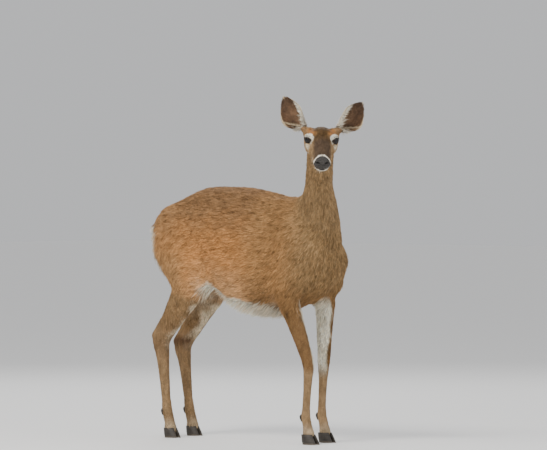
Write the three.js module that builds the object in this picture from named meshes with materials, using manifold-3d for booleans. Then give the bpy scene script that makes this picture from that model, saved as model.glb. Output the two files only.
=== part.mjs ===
// A life-size standing white-tailed doe, her head turned to the right and held level.
// Millimetres, +X towards the chest, +Y to the doe's left, +Z up, the soles at z = 0.
//
// The flesh is a smooth field of masses (a trunk of oval sections, tapered limbs, ellipsoids)
// melted into each other. Each part of the body is a closed surface found by casting rays from
// its own centre line out to its field; joined parts are then divided by flat cuts with a thin
// gap, so neighbours share one outline.
import * as THREE from "three";
import { mergeVertices } from "three/addons/utils/BufferGeometryUtils.js";
import Module from "manifold-3d";

const wasm = await Module();
wasm.setup();

// ---- driving dimensions ----
const gap = 0.5; // between neighbouring pieces
const headYaw = 43; // the way the face looks: this far forward of straight out to her right
const headPitch = 33; // how far the nose dips below the eyes
const headRoll = 2.8; // how far the left eye hangs below the right
const noseAt = 170; // from the eye line to the front of the nose
const eyeRadius = 18;
const eyeApart = 39.5; // each eye from the middle of the head
const earLength = 152;
const elbowLevel = 470; // where the forelegs are parted from the trunk
const coronetLevel = 36; // where the hooves begin
const legs = [
  {
    name: "fore_left",
    side: 1,
    top: [272, 92, 588],
    elbow: [288, 90, 512],
    knee: [297, 73, 287],
    fetlock: [292, 67, 98],
    foot: [318, 67],
    splay: 5,
    sole: 60,
  },
  {
    name: "fore_right",
    side: -1,
    top: [258, 92, 588],
    elbow: [274, 90, 512],
    knee: [358, 73, 284],
    fetlock: [338, 68, 98],
    foot: [362, 68],
    splay: 6,
    sole: 60,
  },
  {
    name: "hind_left",
    side: 1,
    stifle: [-250, 104, 560],
    hock: [-402, 82, 332],
    fetlock: [-362, 73, 98],
    foot: [-336, 73],
    splay: 5,
    sole: 56,
  },
  {
    name: "hind_right",
    side: -1,
    stifle: [-150, 108, 578],
    hock: [-347, 88, 356],
    fetlock: [-329, 77, 98],
    foot: [-303, 77],
    splay: 6,
    sole: 56,
  },
];
const foreLegs = legs.filter((leg) => leg.elbow);
const hindLegs = legs.filter((leg) => leg.stifle);

const v3 = (x, y, z) => new THREE.Vector3(x, y, z);
const { lerp, clamp, degToRad } = THREE.MathUtils;
const alongX = v3(1, 0, 0);
const alongY = v3(0, 1, 0);

// ---- the head's own frame: forward along the muzzle, left, and up to the crown ----
const betweenEyes = v3(574, -245, 1072);
const yaw = degToRad(headYaw);
const pitch = degToRad(headPitch);
const roll = degToRad(headRoll);
const facing = v3(Math.sin(yaw), -Math.cos(yaw), 0); // level, the way the face looks
const headForward = facing.clone().multiplyScalar(Math.cos(pitch));
headForward.z = -Math.sin(pitch);
const headLeft = v3(Math.cos(yaw), Math.sin(yaw), -Math.tan(roll));
headLeft.addScaledVector(headForward, -headLeft.dot(headForward)).normalize();
const headTop = headForward.clone().cross(headLeft).normalize();
const onHead = (forward, left, top) =>
  betweenEyes
    .clone()
    .addScaledVector(headForward, forward)
    .addScaledVector(headLeft, left)
    .addScaledVector(headTop, top);

// ---- masses: each gives a rough distance to its surface, negative inside ----

// Axes are pairs of a direction and a radius.
function ellipsoid(centre, ...axes) {
  const from = v3(0, 0, 0);
  const least = Math.min(...axes.map(([, radius]) => radius));
  return (p) => {
    from.copy(p).sub(centre);
    let near = 0;
    let steep = 0;
    for (const [direction, radius] of axes) {
      const share = from.dot(direction) / radius;
      near += share * share;
      steep += (share / radius) ** 2;
    }
    if (near < 1e-8) return -least;
    const reach = Math.sqrt(near);
    return (reach * (reach - 1)) / Math.sqrt(steep);
  };
}
const blob = (x, y, z, rx, ry, rz) =>
  ellipsoid(v3(x, y, z), [alongX, rx], [alongY, ry], [v3(0, 0, 1), rz]);
const headBlob = (forward, left, top, length, width, height) =>
  ellipsoid(
    onHead(forward, left, top),
    [headForward, length],
    [headLeft, width],
    [headTop, height],
  );

// A limb through stations: deep is its radius seen from the side, wide its radius across, and
// side the direction across.
const station = (at, deep, wide, side = alongY) => ({ at, deep, wide, side });
function limb(...stations) {
  const spans = stations.slice(1).map((to, i) => {
    const run = to.at.clone().sub(stations[i].at);
    return { from: stations[i], to, run, square: run.lengthSq() };
  });
  const off = v3(0, 0, 0);
  const side = v3(0, 0, 0);
  return (p) => {
    let best = Infinity;
    for (const { from, to, run, square } of spans) {
      off.copy(p).sub(from.at);
      const share = clamp(off.dot(run) / square, 0, 1);
      off.addScaledVector(run, -share);
      side.lerpVectors(from.side, to.side, share).normalize();
      const deep = lerp(from.deep, to.deep, share);
      const wide = lerp(from.wide, to.wide, share);
      const across = off.dot(side);
      const size = off.length();
      const rest = Math.sqrt(Math.max(size * size - across * across, 0));
      const reach = Math.hypot(across / wide, rest / deep);
      const d = reach > 1e-6 ? size - size / reach : -Math.min(deep, wide);
      best = Math.min(best, d);
    }
    return best;
  };
}

// The trunk: oval sections along x, each with its top, bottom, half width, and the height at
// which it is widest.
const trunkSections = [
  { x: -425, top: 790, bottom: 700, half: 38, level: 746 },
  { x: -390, top: 813, bottom: 645, half: 70, level: 738 },
  { x: -300, top: 866, bottom: 596, half: 104, level: 728 },
  { x: -200, top: 903, bottom: 622, half: 128, level: 716 },
  { x: -100, top: 909, bottom: 545, half: 154, level: 690 },
  { x: 0, top: 906, bottom: 473, half: 170, level: 652 },
  { x: 100, top: 894, bottom: 458, half: 166, level: 640 },
  { x: 190, top: 876, bottom: 460, half: 146, level: 640 },
  { x: 270, top: 856, bottom: 486, half: 120, level: 652 },
  { x: 340, top: 828, bottom: 528, half: 92, level: 676 },
  { x: 395, top: 778, bottom: 590, half: 58, level: 690 },
];
const crest = 1.85; // the section's power above that level: a slightly peaked back
const barrel = 2.15; // and below it: full ribs and belly

function cubic(a, b, c, d, s) {
  const bend = 2 * a - 5 * b + 4 * c - d + s * (3 * (b - c) + d - a);
  return b + 0.5 * s * (c - a + s * bend);
}
function trunkAt(x) {
  const last = trunkSections.length - 1;
  let i = 0;
  while (i < last - 1 && trunkSections[i + 1].x < x) i++;
  const near = [i - 1, i, i + 1, i + 2].map((n) => trunkSections[clamp(n, 0, last)]);
  const share = clamp((x - near[1].x) / (near[2].x - near[1].x), 0, 1);
  const read = (key) => cubic(...near.map((section) => section[key]), share);
  return [read("top"), read("bottom"), read("half"), read("level")];
}
function trunkMass(p) {
  const [top, bottom, half, level] = trunkAt(p.x);
  const rise = p.z - level;
  const height = rise > 0 ? top - level : level - bottom;
  const power = rise > 0 ? crest : barrel;
  const sum = Math.abs(p.y / half) ** power + Math.abs(rise / height) ** power;
  const reach = sum ** (1 / power);
  const size = Math.hypot(p.y, rise);
  const flat = reach > 1e-6 ? size - size / reach : -half;
  const past = Math.max(trunkSections[0].x - p.x, p.x - trunkSections.at(-1).x, 0);
  return past > 0 ? Math.hypot(Math.max(flat, 0), past) : flat;
}

// ---- the legs' masses ----
const joint = (leg, name) => v3(leg[name][0], leg.side * leg[name][1], leg[name][2]);
const between = (from, to, share, forward = 0, up = 0) =>
  from.clone().lerp(to, share).add(v3(forward, 0, up));
const coronet = (leg) => v3(leg.foot[0] - 8, leg.side * leg.foot[1], coronetLevel);

function shoulderMasses(leg) {
  const s = leg.side;
  const top = joint(leg, "top");
  const blade = limb(
    station(v3(212, s * 60, 826), 38, 28),
    station(v3(258, s * 88, 742), 72, 36),
    station(v3(328, s * 84, 644), 58, 40),
  );
  const arm = limb(
    station(v3(332, s * 84, 640), 54, 38),
    station(v3(322, s * 86, 584), 60, 38),
    station(between(top, joint(leg, "elbow"), 0.3), 62, 36),
  );
  return [blade, arm];
}
function foreLimb(leg) {
  const elbow = joint(leg, "elbow");
  const knee = joint(leg, "knee");
  const fetlock = joint(leg, "fetlock");
  return limb(
    station(joint(leg, "top"), 60, 30),
    station(elbow, 48, 35),
    station(between(elbow, knee, 0.3), 36, 29),
    station(between(elbow, knee, 0.62), 30.5, 26),
    station(between(elbow, knee, 0.88), 26.5, 23),
    station(knee, 25, 22.5),
    station(between(knee, fetlock, 0.16), 20.5, 18.5),
    station(between(knee, fetlock, 0.35), 17, 15.5),
    station(between(knee, fetlock, 0.8), 15, 14.5),
    station(fetlock, 18.5, 18),
    station(between(fetlock, coronet(leg), 0.55), 16.5, 19),
    station(coronet(leg), 22.5, 22.5),
    station(coronet(leg).add(v3(5, 0, -22)), 24, 24),
  );
}
function thigh(leg) {
  const stifle = joint(leg, "stifle");
  return limb(
    station(v3(-302, leg.side * 58, 744), 98, 52),
    station(v3(-268, leg.side * 82, 690), 114, 60),
    station(between(v3(-250, leg.side * 98, 650), stifle, 0.5), 96, 56),
    station(stifle, 66, 45),
  );
}
function gaskin(leg) {
  const stifle = joint(leg, "stifle");
  const hock = joint(leg, "hock");
  return limb(
    station(between(stifle, hock, 0, -38, 64), 86, 48),
    station(between(stifle, hock, 0, -5), 74, 45),
    station(between(stifle, hock, 0.34, -9), 62, 36),
    station(between(stifle, hock, 0.62, -4), 48, 30),
    station(between(stifle, hock, 0.86), 37, 27),
    station(hock, 34, 26),
  );
}
function heelCord(leg) {
  const stifle = joint(leg, "stifle");
  const hock = joint(leg, "hock");
  return limb(
    station(between(stifle, hock, 0.4, -44, 10), 15, 13),
    station(between(stifle, hock, 0.8, -38, 14), 11, 10),
    station(between(hock, hock, 0, -38, 20), 12.5, 12),
    station(between(hock, hock, 0, -17, -44), 14, 14),
  );
}
function hindCannon(leg) {
  const hock = joint(leg, "hock");
  const fetlock = joint(leg, "fetlock");
  return limb(
    station(hock, 34, 26),
    station(between(hock, fetlock, 0.22), 28.5, 21.5),
    station(between(hock, fetlock, 0.42), 22.5, 18.5),
    station(between(hock, fetlock, 0.84), 17.5, 15.5),
    station(fetlock, 20, 19),
    station(between(fetlock, coronet(leg), 0.55), 17, 19.5),
    station(coronet(leg), 22.5, 22.5),
    station(coronet(leg).add(v3(5, 0, -22)), 24, 24),
  );
}

// ---- the neck's and the head's masses ----
const neckLine = [
  { at: [262, 0, 722], deep: 146, wide: 100, turn: 0 },
  { at: [318, -8, 768], deep: 124, wide: 86, turn: 14 },
  { at: [372, -36, 830], deep: 90, wide: 65, turn: 32 },
  { at: [418, -87, 908], deep: 66, wide: 50, turn: 44 },
  { at: [458, -126, 986], deep: 57, wide: 47.5, turn: 47 },
  { at: [490, -156, 1048], deep: 53, wide: 48, turn: 47 },
  { at: [515, -180, 1066], deep: 48, wide: 47, turn: 47 },
];
const neckStations = neckLine.map(({ at, deep, wide, turn }) => {
  const side = v3(Math.sin(degToRad(turn)), Math.cos(degToRad(turn)), 0);
  return station(v3(...at), deep, wide, side);
});
const headStation = (forward, top, deep, wide) =>
  station(onHead(forward, 0, top), deep, wide, headLeft);

// The ears rise outwards and lean back; each opens forward and a little outward.
const levelLeft = headLeft.clone().setZ(0).normalize();
function earAxis(side) {
  // the left ear droops a little more than the right
  const [up, out, back] = side > 0 ? [0.65, 0.61, -0.45] : [0.75, 0.51, -0.42];
  const way = v3(0, 0, up).addScaledVector(levelLeft, side * out);
  return way.addScaledVector(facing, back).normalize();
}
const earRoot = (side) => onHead(-62, side * 59, -2);
const earStub = 8; // how far along the ear its root is parted from the head

function sideMasses(s) {
  const brow = headBlob(-2, s * (eyeApart + 1.5), 1, 27, 22, 22);
  const cheek = headBlob(-30, s * 40, -36, 46, 19, 34);
  const muscle = headBlob(34, s * 32, -18, 34, 14, 18);
  const nostrilWing = headBlob(noseAt - 20, s * 17, 2, 15, 14, 15);
  const ear = limb(
    station(onHead(-52, s * 32, -12), 20, 20, headLeft),
    station(earRoot(s), 15.5, 15, headLeft),
    station(earRoot(s).addScaledVector(earAxis(s), 40), 13, 13, headLeft),
  );
  return [
    [brow, 10],
    [cheek, 16],
    [muscle, 16],
    [nostrilWing, 8],
    [ear, 12],
  ];
}
const muzzle = limb(
  headStation(5, -12, 46, 44),
  headStation(50, -9, 38, 36.5),
  headStation(95, -6, 32, 32),
  headStation(noseAt - 29, -4, 28, 30.5),
);
const jaw = limb(
  headStation(-42, -46, 32, 40),
  headStation(10, -44, 24, 32),
  headStation(70, -36, 15, 24),
  headStation(130, -27, 11, 20),
);
const headMasses = [
  [headBlob(-46, 0, -33, 56, 53, 36), 16], // braincase
  [headBlob(-8, 0, 0, 52, 46, 31), 16], // forehead
  [muzzle, 16],
  [jaw, 14],
  [headBlob(noseAt - 17, 0, 2, 17, 23, 19), 8], // nose
  [headBlob(noseAt - 34, 0, -22, 23, 23, 15), 8], // lips and chin
  ...sideMasses(1),
  ...sideMasses(-1),
];

// ---- the tail's line, and the fields ----
const tailPath = [
  [-412, 796],
  [-440, 783],
  [-453, 745],
  [-445, 700],
  [-429, 657],
  [-412, 624],
  [-404, 608],
].map(([x, z]) => v3(x, 0, z));
// The roots of the neck and the forelegs lie just inside the parts that rise from them.
const thinned = (one) => station(one.at, one.deep * 0.95, one.wide * 0.95, one.side);
function elbowMass(leg) {
  const top = joint(leg, "top");
  const end = joint(leg, "elbow").add(v3(0, 0, 14));
  return limb(station(top, 58, 28), station(end, 42, 31));
}

// Masses melted together, each over its own blending distance.
const melted = (masses) => (p) => {
  let sum = 1e3;
  for (const [mass, blend] of masses) {
    const d = mass(p);
    const share = clamp(0.5 + (0.5 * (d - sum)) / blend, 0, 1);
    sum = lerp(d, sum, share) - blend * share * (1 - share);
  }
  return sum;
};
const body = melted([
  [trunkMass, 1],
  [blob(-292, 0, 738, 132, 96, 102), 30], // croup
  [blob(326, 0, 642, 88, 84, 116), 44], // breast
  ...foreLegs.flatMap((leg) => shoulderMasses(leg).map((mass) => [mass, 32])),
  ...foreLegs.map((leg) => [elbowMass(leg), 30]),
  [limb(...neckStations.slice(0, 4).map(thinned)), 48],
  ...hindLegs.map((leg) => [thigh(leg), 30]),
  [limb(station(v3(-392, 0, 800), 20, 22), station(v3(-462, 0, 780), 12, 15)), 24],
  ...hindLegs.flatMap((leg) => [
    [gaskin(leg), 24],
    [heelCord(leg), 9],
    [hindCannon(leg), 9],
  ]),
]);
const neckAndHead = melted([[limb(...neckStations), 1], ...headMasses]);

// ---- from the field to closed surfaces ----

// The distance from a point inside to where the field turns positive.
function cast(field, from, way, reach) {
  const p = v3(0, 0, 0);
  const at = (r) => field(p.copy(from).addScaledVector(way, r));
  let inside = 0;
  let outside = 0;
  while (outside < reach) {
    const d = at(outside);
    if (d > 0) break;
    inside = outside;
    outside += Math.max(-0.6 * d, 1.5);
  }
  for (let n = 0; n < 14; n++) {
    const middle = (inside + outside) / 2;
    if (at(middle) > 0) outside = middle;
    else inside = middle;
  }
  return inside;
}

// A ring to cast from: its centre, the way along the part, a side, and how far its rays lean.
function ring(at, along, side, lean = 0) {
  const w = along.clone().normalize();
  const u = side.clone().addScaledVector(w, -side.dot(w)).normalize();
  return { at, w, u, v: w.clone().cross(u), lean };
}
// The rings that close an end: a pole, then rays that open like an umbrella.
function fan(at, along, side, count, end) {
  const leans = Array.from({ length: count }, (_, i) => (Math.PI / 2) * (1 - i / count));
  const rings = leans.map((lean) => ring(at, along, side, end * lean));
  return end < 0 ? rings : rings.reverse();
}
const evenTurns = (count) =>
  Array.from({ length: count }, (_, j) => (2 * Math.PI * (j + 0.5)) / count);

// Rings through a curve, parallel to the cut at either end where one is given.
function ringsThrough(points, count, side, startWay, endWay) {
  const curve = new THREE.CatmullRomCurve3(points, false, "centripetal");
  return Array.from({ length: count + 1 }, (_, i) => {
    const share = i / count;
    const way = curve.getTangentAt(share);
    if (startWay) way.lerp(startWay, clamp(1 - share * 4, 0, 1));
    if (endWay) way.lerp(endWay, clamp(1 - (1 - share) * 4, 0, 1));
    return ring(curve.getPointAt(share), way, side);
  });
}
function castLoops(field, rings, turns, reach) {
  return rings.map(({ at, w, u, v, lean }) => {
    const pole = Math.abs(lean) > Math.PI / 2 - 1e-6;
    return (pole ? [0] : turns).map((turn) => {
      const way = u.clone().multiplyScalar(Math.cos(turn) * Math.cos(lean));
      way.addScaledVector(v, Math.sin(turn) * Math.cos(lean));
      way.addScaledVector(w, Math.sin(lean));
      return at.clone().addScaledVector(way, cast(field, at, way, reach));
    });
  });
}

// Triangles between loops of points, their ends closed to a point.
function closedOver(loops) {
  const points = [];
  const faces = [];
  const add = (p) => points.push(p) - 1;
  const rows = loops.map((loop) => loop.map(add));
  const toPoint = (row, pole, flip) =>
    row.forEach((a, j) => {
      const b = row[(j + 1) % row.length];
      faces.push(flip ? [pole, b, a] : [pole, a, b]);
    });
  const middle = (row) => {
    const sum = v3(0, 0, 0);
    row.forEach((i) => sum.add(points[i]));
    return add(sum.divideScalar(row.length));
  };
  for (let i = 0; i + 1 < rows.length; i++) {
    const [low, high] = [rows[i], rows[i + 1]];
    if (low.length === 1) toPoint(high, low[0], true);
    else if (high.length === 1) toPoint(low, high[0], false);
    else
      low.forEach((a, j) => {
        const b = low[(j + 1) % low.length];
        const c = high[(j + 1) % low.length];
        const d = high[j];
        const short = points[a].distanceTo(points[c]) < points[b].distanceTo(points[d]);
        faces.push(...(short ? [[a, b, c], [a, c, d]] : [[a, b, d], [b, c, d]]));
      });
  }
  if (rows[0].length > 1) toPoint(rows[0], middle(rows[0]), true);
  if (rows.at(-1).length > 1) toPoint(rows.at(-1), middle(rows.at(-1)), false);
  return indexed(points, faces);
}
// A folded sheet: each loop runs out along one face and back along the other.
function closedSheet(loops) {
  const count = loops[0].length;
  const half = count / 2;
  const faces = [];
  for (let i = 0; i + 1 < loops.length; i++) {
    for (let j = 0; j < count; j++) {
      const [a, b] = [i * count + j, i * count + ((j + 1) % count)];
      faces.push([a, b, b + count], [a, b + count, a + count]);
    }
  }
  for (let j = 0; j + 1 < half; j++) {
    const [a, b, c, d] = [j, j + 1, count - 2 - j, count - 1 - j];
    const top = (loops.length - 1) * count;
    faces.push([a, c, b], [a, d, c]);
    faces.push([top + a, top + b, top + c], [top + a, top + c, top + d]);
  }
  return indexed(loops.flat(), faces);
}
function indexed(points, faces) {
  const geometry = new THREE.BufferGeometry().setFromPoints(points);
  geometry.setIndex(faces.flat());
  return geometry;
}

// ---- solids, and the blocks that cut them ----
function solidOf(geometry) {
  const bare = geometry.clone();
  bare.deleteAttribute("normal");
  bare.deleteAttribute("uv");
  const merged = mergeVertices(bare, 1e-4);
  return new wasm.Manifold(
    new wasm.Mesh({
      numProp: 3,
      vertProperties: new Float32Array(merged.attributes.position.array),
      triVerts: new Uint32Array(merged.index.array),
    }),
  );
}
function geometryOf(solid) {
  const { numVert, numProp, vertProperties, triVerts } = solid.getMesh();
  const places = new Float32Array(numVert * 3);
  for (let i = 0; i < numVert; i++)
    places.set(vertProperties.subarray(i * numProp, i * numProp + 3), i * 3);
  const geometry = new THREE.BufferGeometry();
  geometry.setAttribute("position", new THREE.BufferAttribute(places, 3));
  geometry.setIndex(new THREE.BufferAttribute(new Uint32Array(triVerts), 1));
  return geometry;
}
// A block stands on a plane: its floor is the cut, and its third way points into the block.
function block(at, into, side, low, high) {
  const { w, u, v } = ring(at, into, side);
  return { at, ways: [u, v, w], low: [...low, 0], high };
}
function blockSolid({ at, ways, low, high }, inset = 0) {
  const floor = [low[0], low[1], low[2] + inset];
  const size = high.map((h, i) => h - floor[i]);
  const geometry = new THREE.BoxGeometry(...size);
  geometry.translate(...floor.map((l, i) => l + size[i] / 2));
  const frame = new THREE.Matrix4().makeBasis(...ways).setPosition(at);
  return solidOf(geometry.applyMatrix4(frame));
}
// How deep a point lies in a block whose floor is moved; negative outside.
function depthIn({ at, ways, low, high }, p, floor = 0) {
  const away = p.clone().sub(at);
  const q = ways.map((way) => away.dot(way));
  const depths = q.map((d, i) => Math.min(d - low[i] - (i === 2 ? floor : 0), high[i] - d));
  return Math.min(...depths);
}
const outsideOf = (blocks, floor) => (p) =>
  Math.max(body(p), ...blocks.map((one) => depthIn(one, p, floor)));
const insideOf = (one, floor) => (p) => Math.max(body(p), -depthIn(one, p, floor));
const castSolid = (field, rings, turns, reach) =>
  solidOf(closedOver(castLoops(field, rings, turns, reach)));

const halfSpace = (at, into) => block(at, into, alongY, [-700, -700], [700, 700, 700]);
const neckCut = { at: v3(362, -28, 816), way: v3(0.62, -0.25, 0.74).normalize() };
const nape = headForward.clone().multiplyScalar(0.9).addScaledVector(headTop, 0.44);
const headCut = { at: onHead(-90, 0, -48), way: nape.normalize() };
const neckBlock = halfSpace(neckCut.at, neckCut.way);
const headBlock = halfSpace(headCut.at, headCut.way);
const belowHead = halfSpace(headCut.at, headCut.way.clone().negate());
const tailRoot = v3(-444, 0, 790);
const tailWay = v3(-0.96, 0, -0.28);
const tailBlock = block(tailRoot, tailWay, alongY, [-40, -40], [40, 34, 90]);

// The leg blocks hang below their cut, from a little beside the middle outwards.
const downCut = v3(0, 0, -1);
const stifleWay = v3(-0.27, 0, -0.96).normalize();
function legBlock(leg) {
  const side = alongY.clone().multiplyScalar(leg.side);
  const fore = Boolean(leg.elbow);
  const at = fore
    ? v3(280, 0, elbowLevel)
    : v3(leg.stifle[0] + 60, 0, leg.stifle[2] - 84);
  const [inner, behind, ahead] = fore ? [40, 55, 180] : [24, 460, 40];
  // seen down the leg, the second way is forward on the left and backward on the right
  const [low, high] = leg.side > 0 ? [-behind, ahead] : [-ahead, behind];
  return block(at, fore ? downCut : stifleWay, side, [inner, low], [260, high, 620]);
}
const legBlocks = legs.map(legBlock);
const carve = (solid, blocks) =>
  blocks.reduce((left, one) => left.subtract(blockSolid(one)), solid);
const keep = (solid, one) => solid.intersect(blockSolid(one, gap));

// ---- the pieces ----
const pieces = [];
const piece = (name, solid, look) => pieces.push({ name, solid, look });

// The neck runs from deep in the chest up into the head.
function neckLoft() {
  const points = neckStations.slice(0, 6).map(({ at }) => at);
  points.push(headCut.at.clone().addScaledVector(headCut.way, 6));
  const rings = ringsThrough(points, 14, neckStations[4].side, null, headCut.way);
  return castSolid(neckAndHead, rings, evenTurns(18), 260);
}
// A foreleg runs from inside the shoulder down into the hoof.
function foreLoft(leg) {
  const elbow = joint(leg, "elbow");
  const top = between(joint(leg, "top"), elbow, 0.35);
  const path = [top, elbow, joint(leg, "knee"), ...footPath(leg)];
  const rings = ringsThrough(path, 16, alongY, downCut, downCut);
  return castSolid(foreLimb(leg), rings, evenTurns(12), 90);
}
const footPath = (leg) => [
  joint(leg, "fetlock"),
  coronet(leg),
  coronet(leg).add(v3(2, 0, -6)),
];

// The trunk: shoulders, barrel, haunches and the root of the tail, all joined before the cuts.
function trunkTurns() {
  const sector = degToRad(42); // finer rays below, where the legs leave
  const start = -Math.PI / 2 - sector;
  const under = Array.from({ length: 16 }, (_, j) => start + (sector * j) / 8);
  const rest = 2 * (Math.PI - sector);
  const over = Array.from({ length: 16 }, (_, j) => start + 2 * sector + (rest * j) / 16);
  return [...under, ...over];
}
function trunkLoft() {
  const path = [v3(-300, 0, 726), v3(-60, 0, 690), v3(200, 0, 680), v3(318, 0, 680)];
  const curve = new THREE.CatmullRomCurve3(path);
  const middle = Array.from({ length: 18 }, (_, i) =>
    ring(curve.getPointAt(i / 17), alongX, alongY),
  );
  const rings = [
    ...fan(path[0], alongX, alongY, 7, -1),
    ...middle,
    ...fan(path.at(-1), alongX, alongY, 6, 1),
  ];
  const stub = 55; // the sampled surface runs on past each cut
  const cuts = [neckBlock, tailBlock, ...legBlocks.filter((_, i) => !legs[i].elbow)];
  return castSolid(outsideOf(cuts, stub), rings, trunkTurns(), 600);
}
const foreLofts = foreLegs.map(foreLoft);
const neckWhole = neckLoft();
const joined = [...foreLofts, neckWhole].reduce((sum, one) => sum.add(one), trunkLoft());
const trunk = carve(joined, [neckBlock, tailBlock, ...legBlocks]);
piece("trunk", trunk, "coat");
piece("neck", keep(keep(neckWhole, neckBlock), belowHead), "coat");

// ---- the head ----
const ball = (radius, at) =>
  solidOf(new THREE.SphereGeometry(radius, 12, 7).translate(at.x, at.y, at.z));
const eyeAt = (side) => onHead(0, side * eyeApart, 0);

// Each eye looks forward, outward and a little up, through an opening wider than it is high.
function gaze(side) {
  const way = headForward.clone().multiplyScalar(0.72);
  way.addScaledVector(headLeft, side * 0.68).addScaledVector(headTop, 0.2);
  return way.normalize();
}
function lidOpening(side) {
  const { w, u, v } = ring(eyeAt(side), gaze(side), headTop);
  const cone = new THREE.CylinderGeometry(33, 6, 23, 14).rotateX(Math.PI / 2);
  cone.scale(0.84, 1.1, 1).translate(0, 0, 17.5);
  const frame = new THREE.Matrix4().makeBasis(u, v, w).setPosition(eyeAt(side));
  return solidOf(cone.applyMatrix4(frame));
}
function headSolid() {
  const start = headCut.at.clone().addScaledVector(headCut.way, -4);
  const path = [start, onHead(-40, 0, -20), onHead(70, 0, -12), onHead(noseAt - 22, 0, -9)];
  const rings = ringsThrough(path, 20, headLeft, headCut.way);
  const end = rings.at(-1);
  rings.push(...fan(end.at, end.w, headLeft, 4, 1));
  let solid = castSolid(neckAndHead, rings, evenTurns(22), 200);
  solid = keep(solid, headBlock);
  for (const side of [1, -1]) {
    const root = earRoot(side).addScaledVector(earAxis(side), earStub);
    solid = carve(solid, [block(root, earAxis(side), facing, [-27, -27], [27, 27, 90])]);
    solid = solid.subtract(ball(eyeRadius + gap, eyeAt(side)));
    solid = solid.subtract(lidOpening(side));
  }
  return solid;
}
// The mouth line runs back and slightly down from under the nose.
const mouthWay = headTop.clone().negate().addScaledVector(headForward, 0.16).normalize();
const mouthFront = onHead(noseAt - 6, 0, -17);
const jawBlock = block(mouthFront, mouthWay, headLeft, [-60, -94], [60, 20, 90]);
const noseWay = headForward.clone().addScaledVector(headTop, 0.42).normalize();
const noseBack = onHead(noseAt - 19, 0, -2);
const noseBlock = block(noseBack, noseWay, headLeft, [-40, -17], [40, 40, 40]);
function nostril(side) {
  const hollow = new THREE.SphereGeometry(1, 8, 5).scale(6.5, 3.6, 8);
  const frame = new THREE.Matrix4().makeBasis(headLeft, headTop, headForward);
  frame.setPosition(onHead(noseAt - 3, side * 12.5, 3));
  return solidOf(hollow.rotateZ(side * 0.5).applyMatrix4(frame));
}
const wholeHead = headSolid();
const face = carve(wholeHead, [jawBlock]);
const nose = keep(face, noseBlock).subtract(nostril(1)).subtract(nostril(-1));
piece("head", carve(face, [noseBlock]), "coat");
piece("jaw", keep(wholeHead, jawBlock), "coat");
piece("nose", nose, "nose");
piece("eye_left", ball(eyeRadius, eyeAt(1)), "eye");
piece("eye_right", ball(eyeRadius, eyeAt(-1)), "eye");

// ---- the ears: leaves rolled into a tube at the root and open above ----
// along: share of the length; width: developed half width; roll: half angle of the arc
const earSections = [
  { along: 0, width: 41, roll: 152 },
  { along: 0.07, width: 50, roll: 124 },
  { along: 0.17, width: 59, roll: 100 },
  { along: 0.3, width: 60, roll: 81 },
  { along: 0.46, width: 54, roll: 67 },
  { along: 0.6, width: 43, roll: 57 },
  { along: 0.74, width: 32, roll: 48 },
  { along: 0.86, width: 21, roll: 40 },
  { along: 0.95, width: 11, roll: 32 },
  { along: 1, width: 4, roll: 24 },
];
function earLoop(side, { along, width, roll }) {
  const root = earRoot(side).addScaledVector(earAxis(side), earStub + gap);
  const tip = earRoot(side).addScaledVector(earAxis(side), earLength);
  const open = facing.clone().addScaledVector(levelLeft, side * 0.3);
  const { u: out, v: across } = ring(root, earAxis(side), open);
  const bulge = 7 * Math.sin(Math.PI * along ** 0.6);
  const spine = root.lerp(tip, along).addScaledVector(levelLeft, side * bulge);
  spine.addScaledVector(out, -17);
  const angle = degToRad(roll);
  const onArc = (share, off) => {
    const r = width / angle + off;
    const swing = share * angle;
    const depth = width / angle - r * Math.cos(swing);
    const at = spine.clone().addScaledVector(out, depth);
    return at.addScaledVector(across, r * Math.sin(swing));
  };
  const thick = lerp(3.4, 1.6, along);
  const shares = Array.from({ length: 8 }, (_, i) => 1 - i / 3.5);
  const back = shares.map((share) => onArc(share, thick / 2));
  const front = shares.map((share) => onArc(share, -thick / 2)).reverse();
  return [...back, ...front];
}
const earSolid = (side) =>
  solidOf(closedSheet(earSections.map((section) => earLoop(side, section))));
piece("ear_left", earSolid(1), "coat");
piece("ear_right", earSolid(-1), "coat");

// ---- the tail: broad, flat, hanging against the rump ----
function tailSolid() {
  const widths = [17, 22, 29, 32, 29, 22, 11];
  const depths = [14, 14, 13, 12, 12, 10, 7];
  const field = limb(...tailPath.map((at, i) => station(at, depths[i], widths[i])));
  const rings = ringsThrough(tailPath, 8, alongY);
  const end = rings.at(-1);
  rings.push(...fan(end.at, end.w, alongY, 3, 1));
  const whole = castSolid(field, rings, evenTurns(10), 80);
  const start = tailRoot.clone().addScaledVector(tailWay, gap);
  const root = block(start, tailWay.clone().negate(), alongY, [-90, -40], [90, 40, 90]);
  const parted = carve(whole, [root]);
  return parted.subtract(trunk).subtract(trunk.translate([-gap, 0, 0]));
}
piece("tail", tailSolid(), "coat");

// ---- the legs ----
const across = (at, way) => block(at, way, alongY, [-500, -500], [500, 500, 700]);
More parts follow.
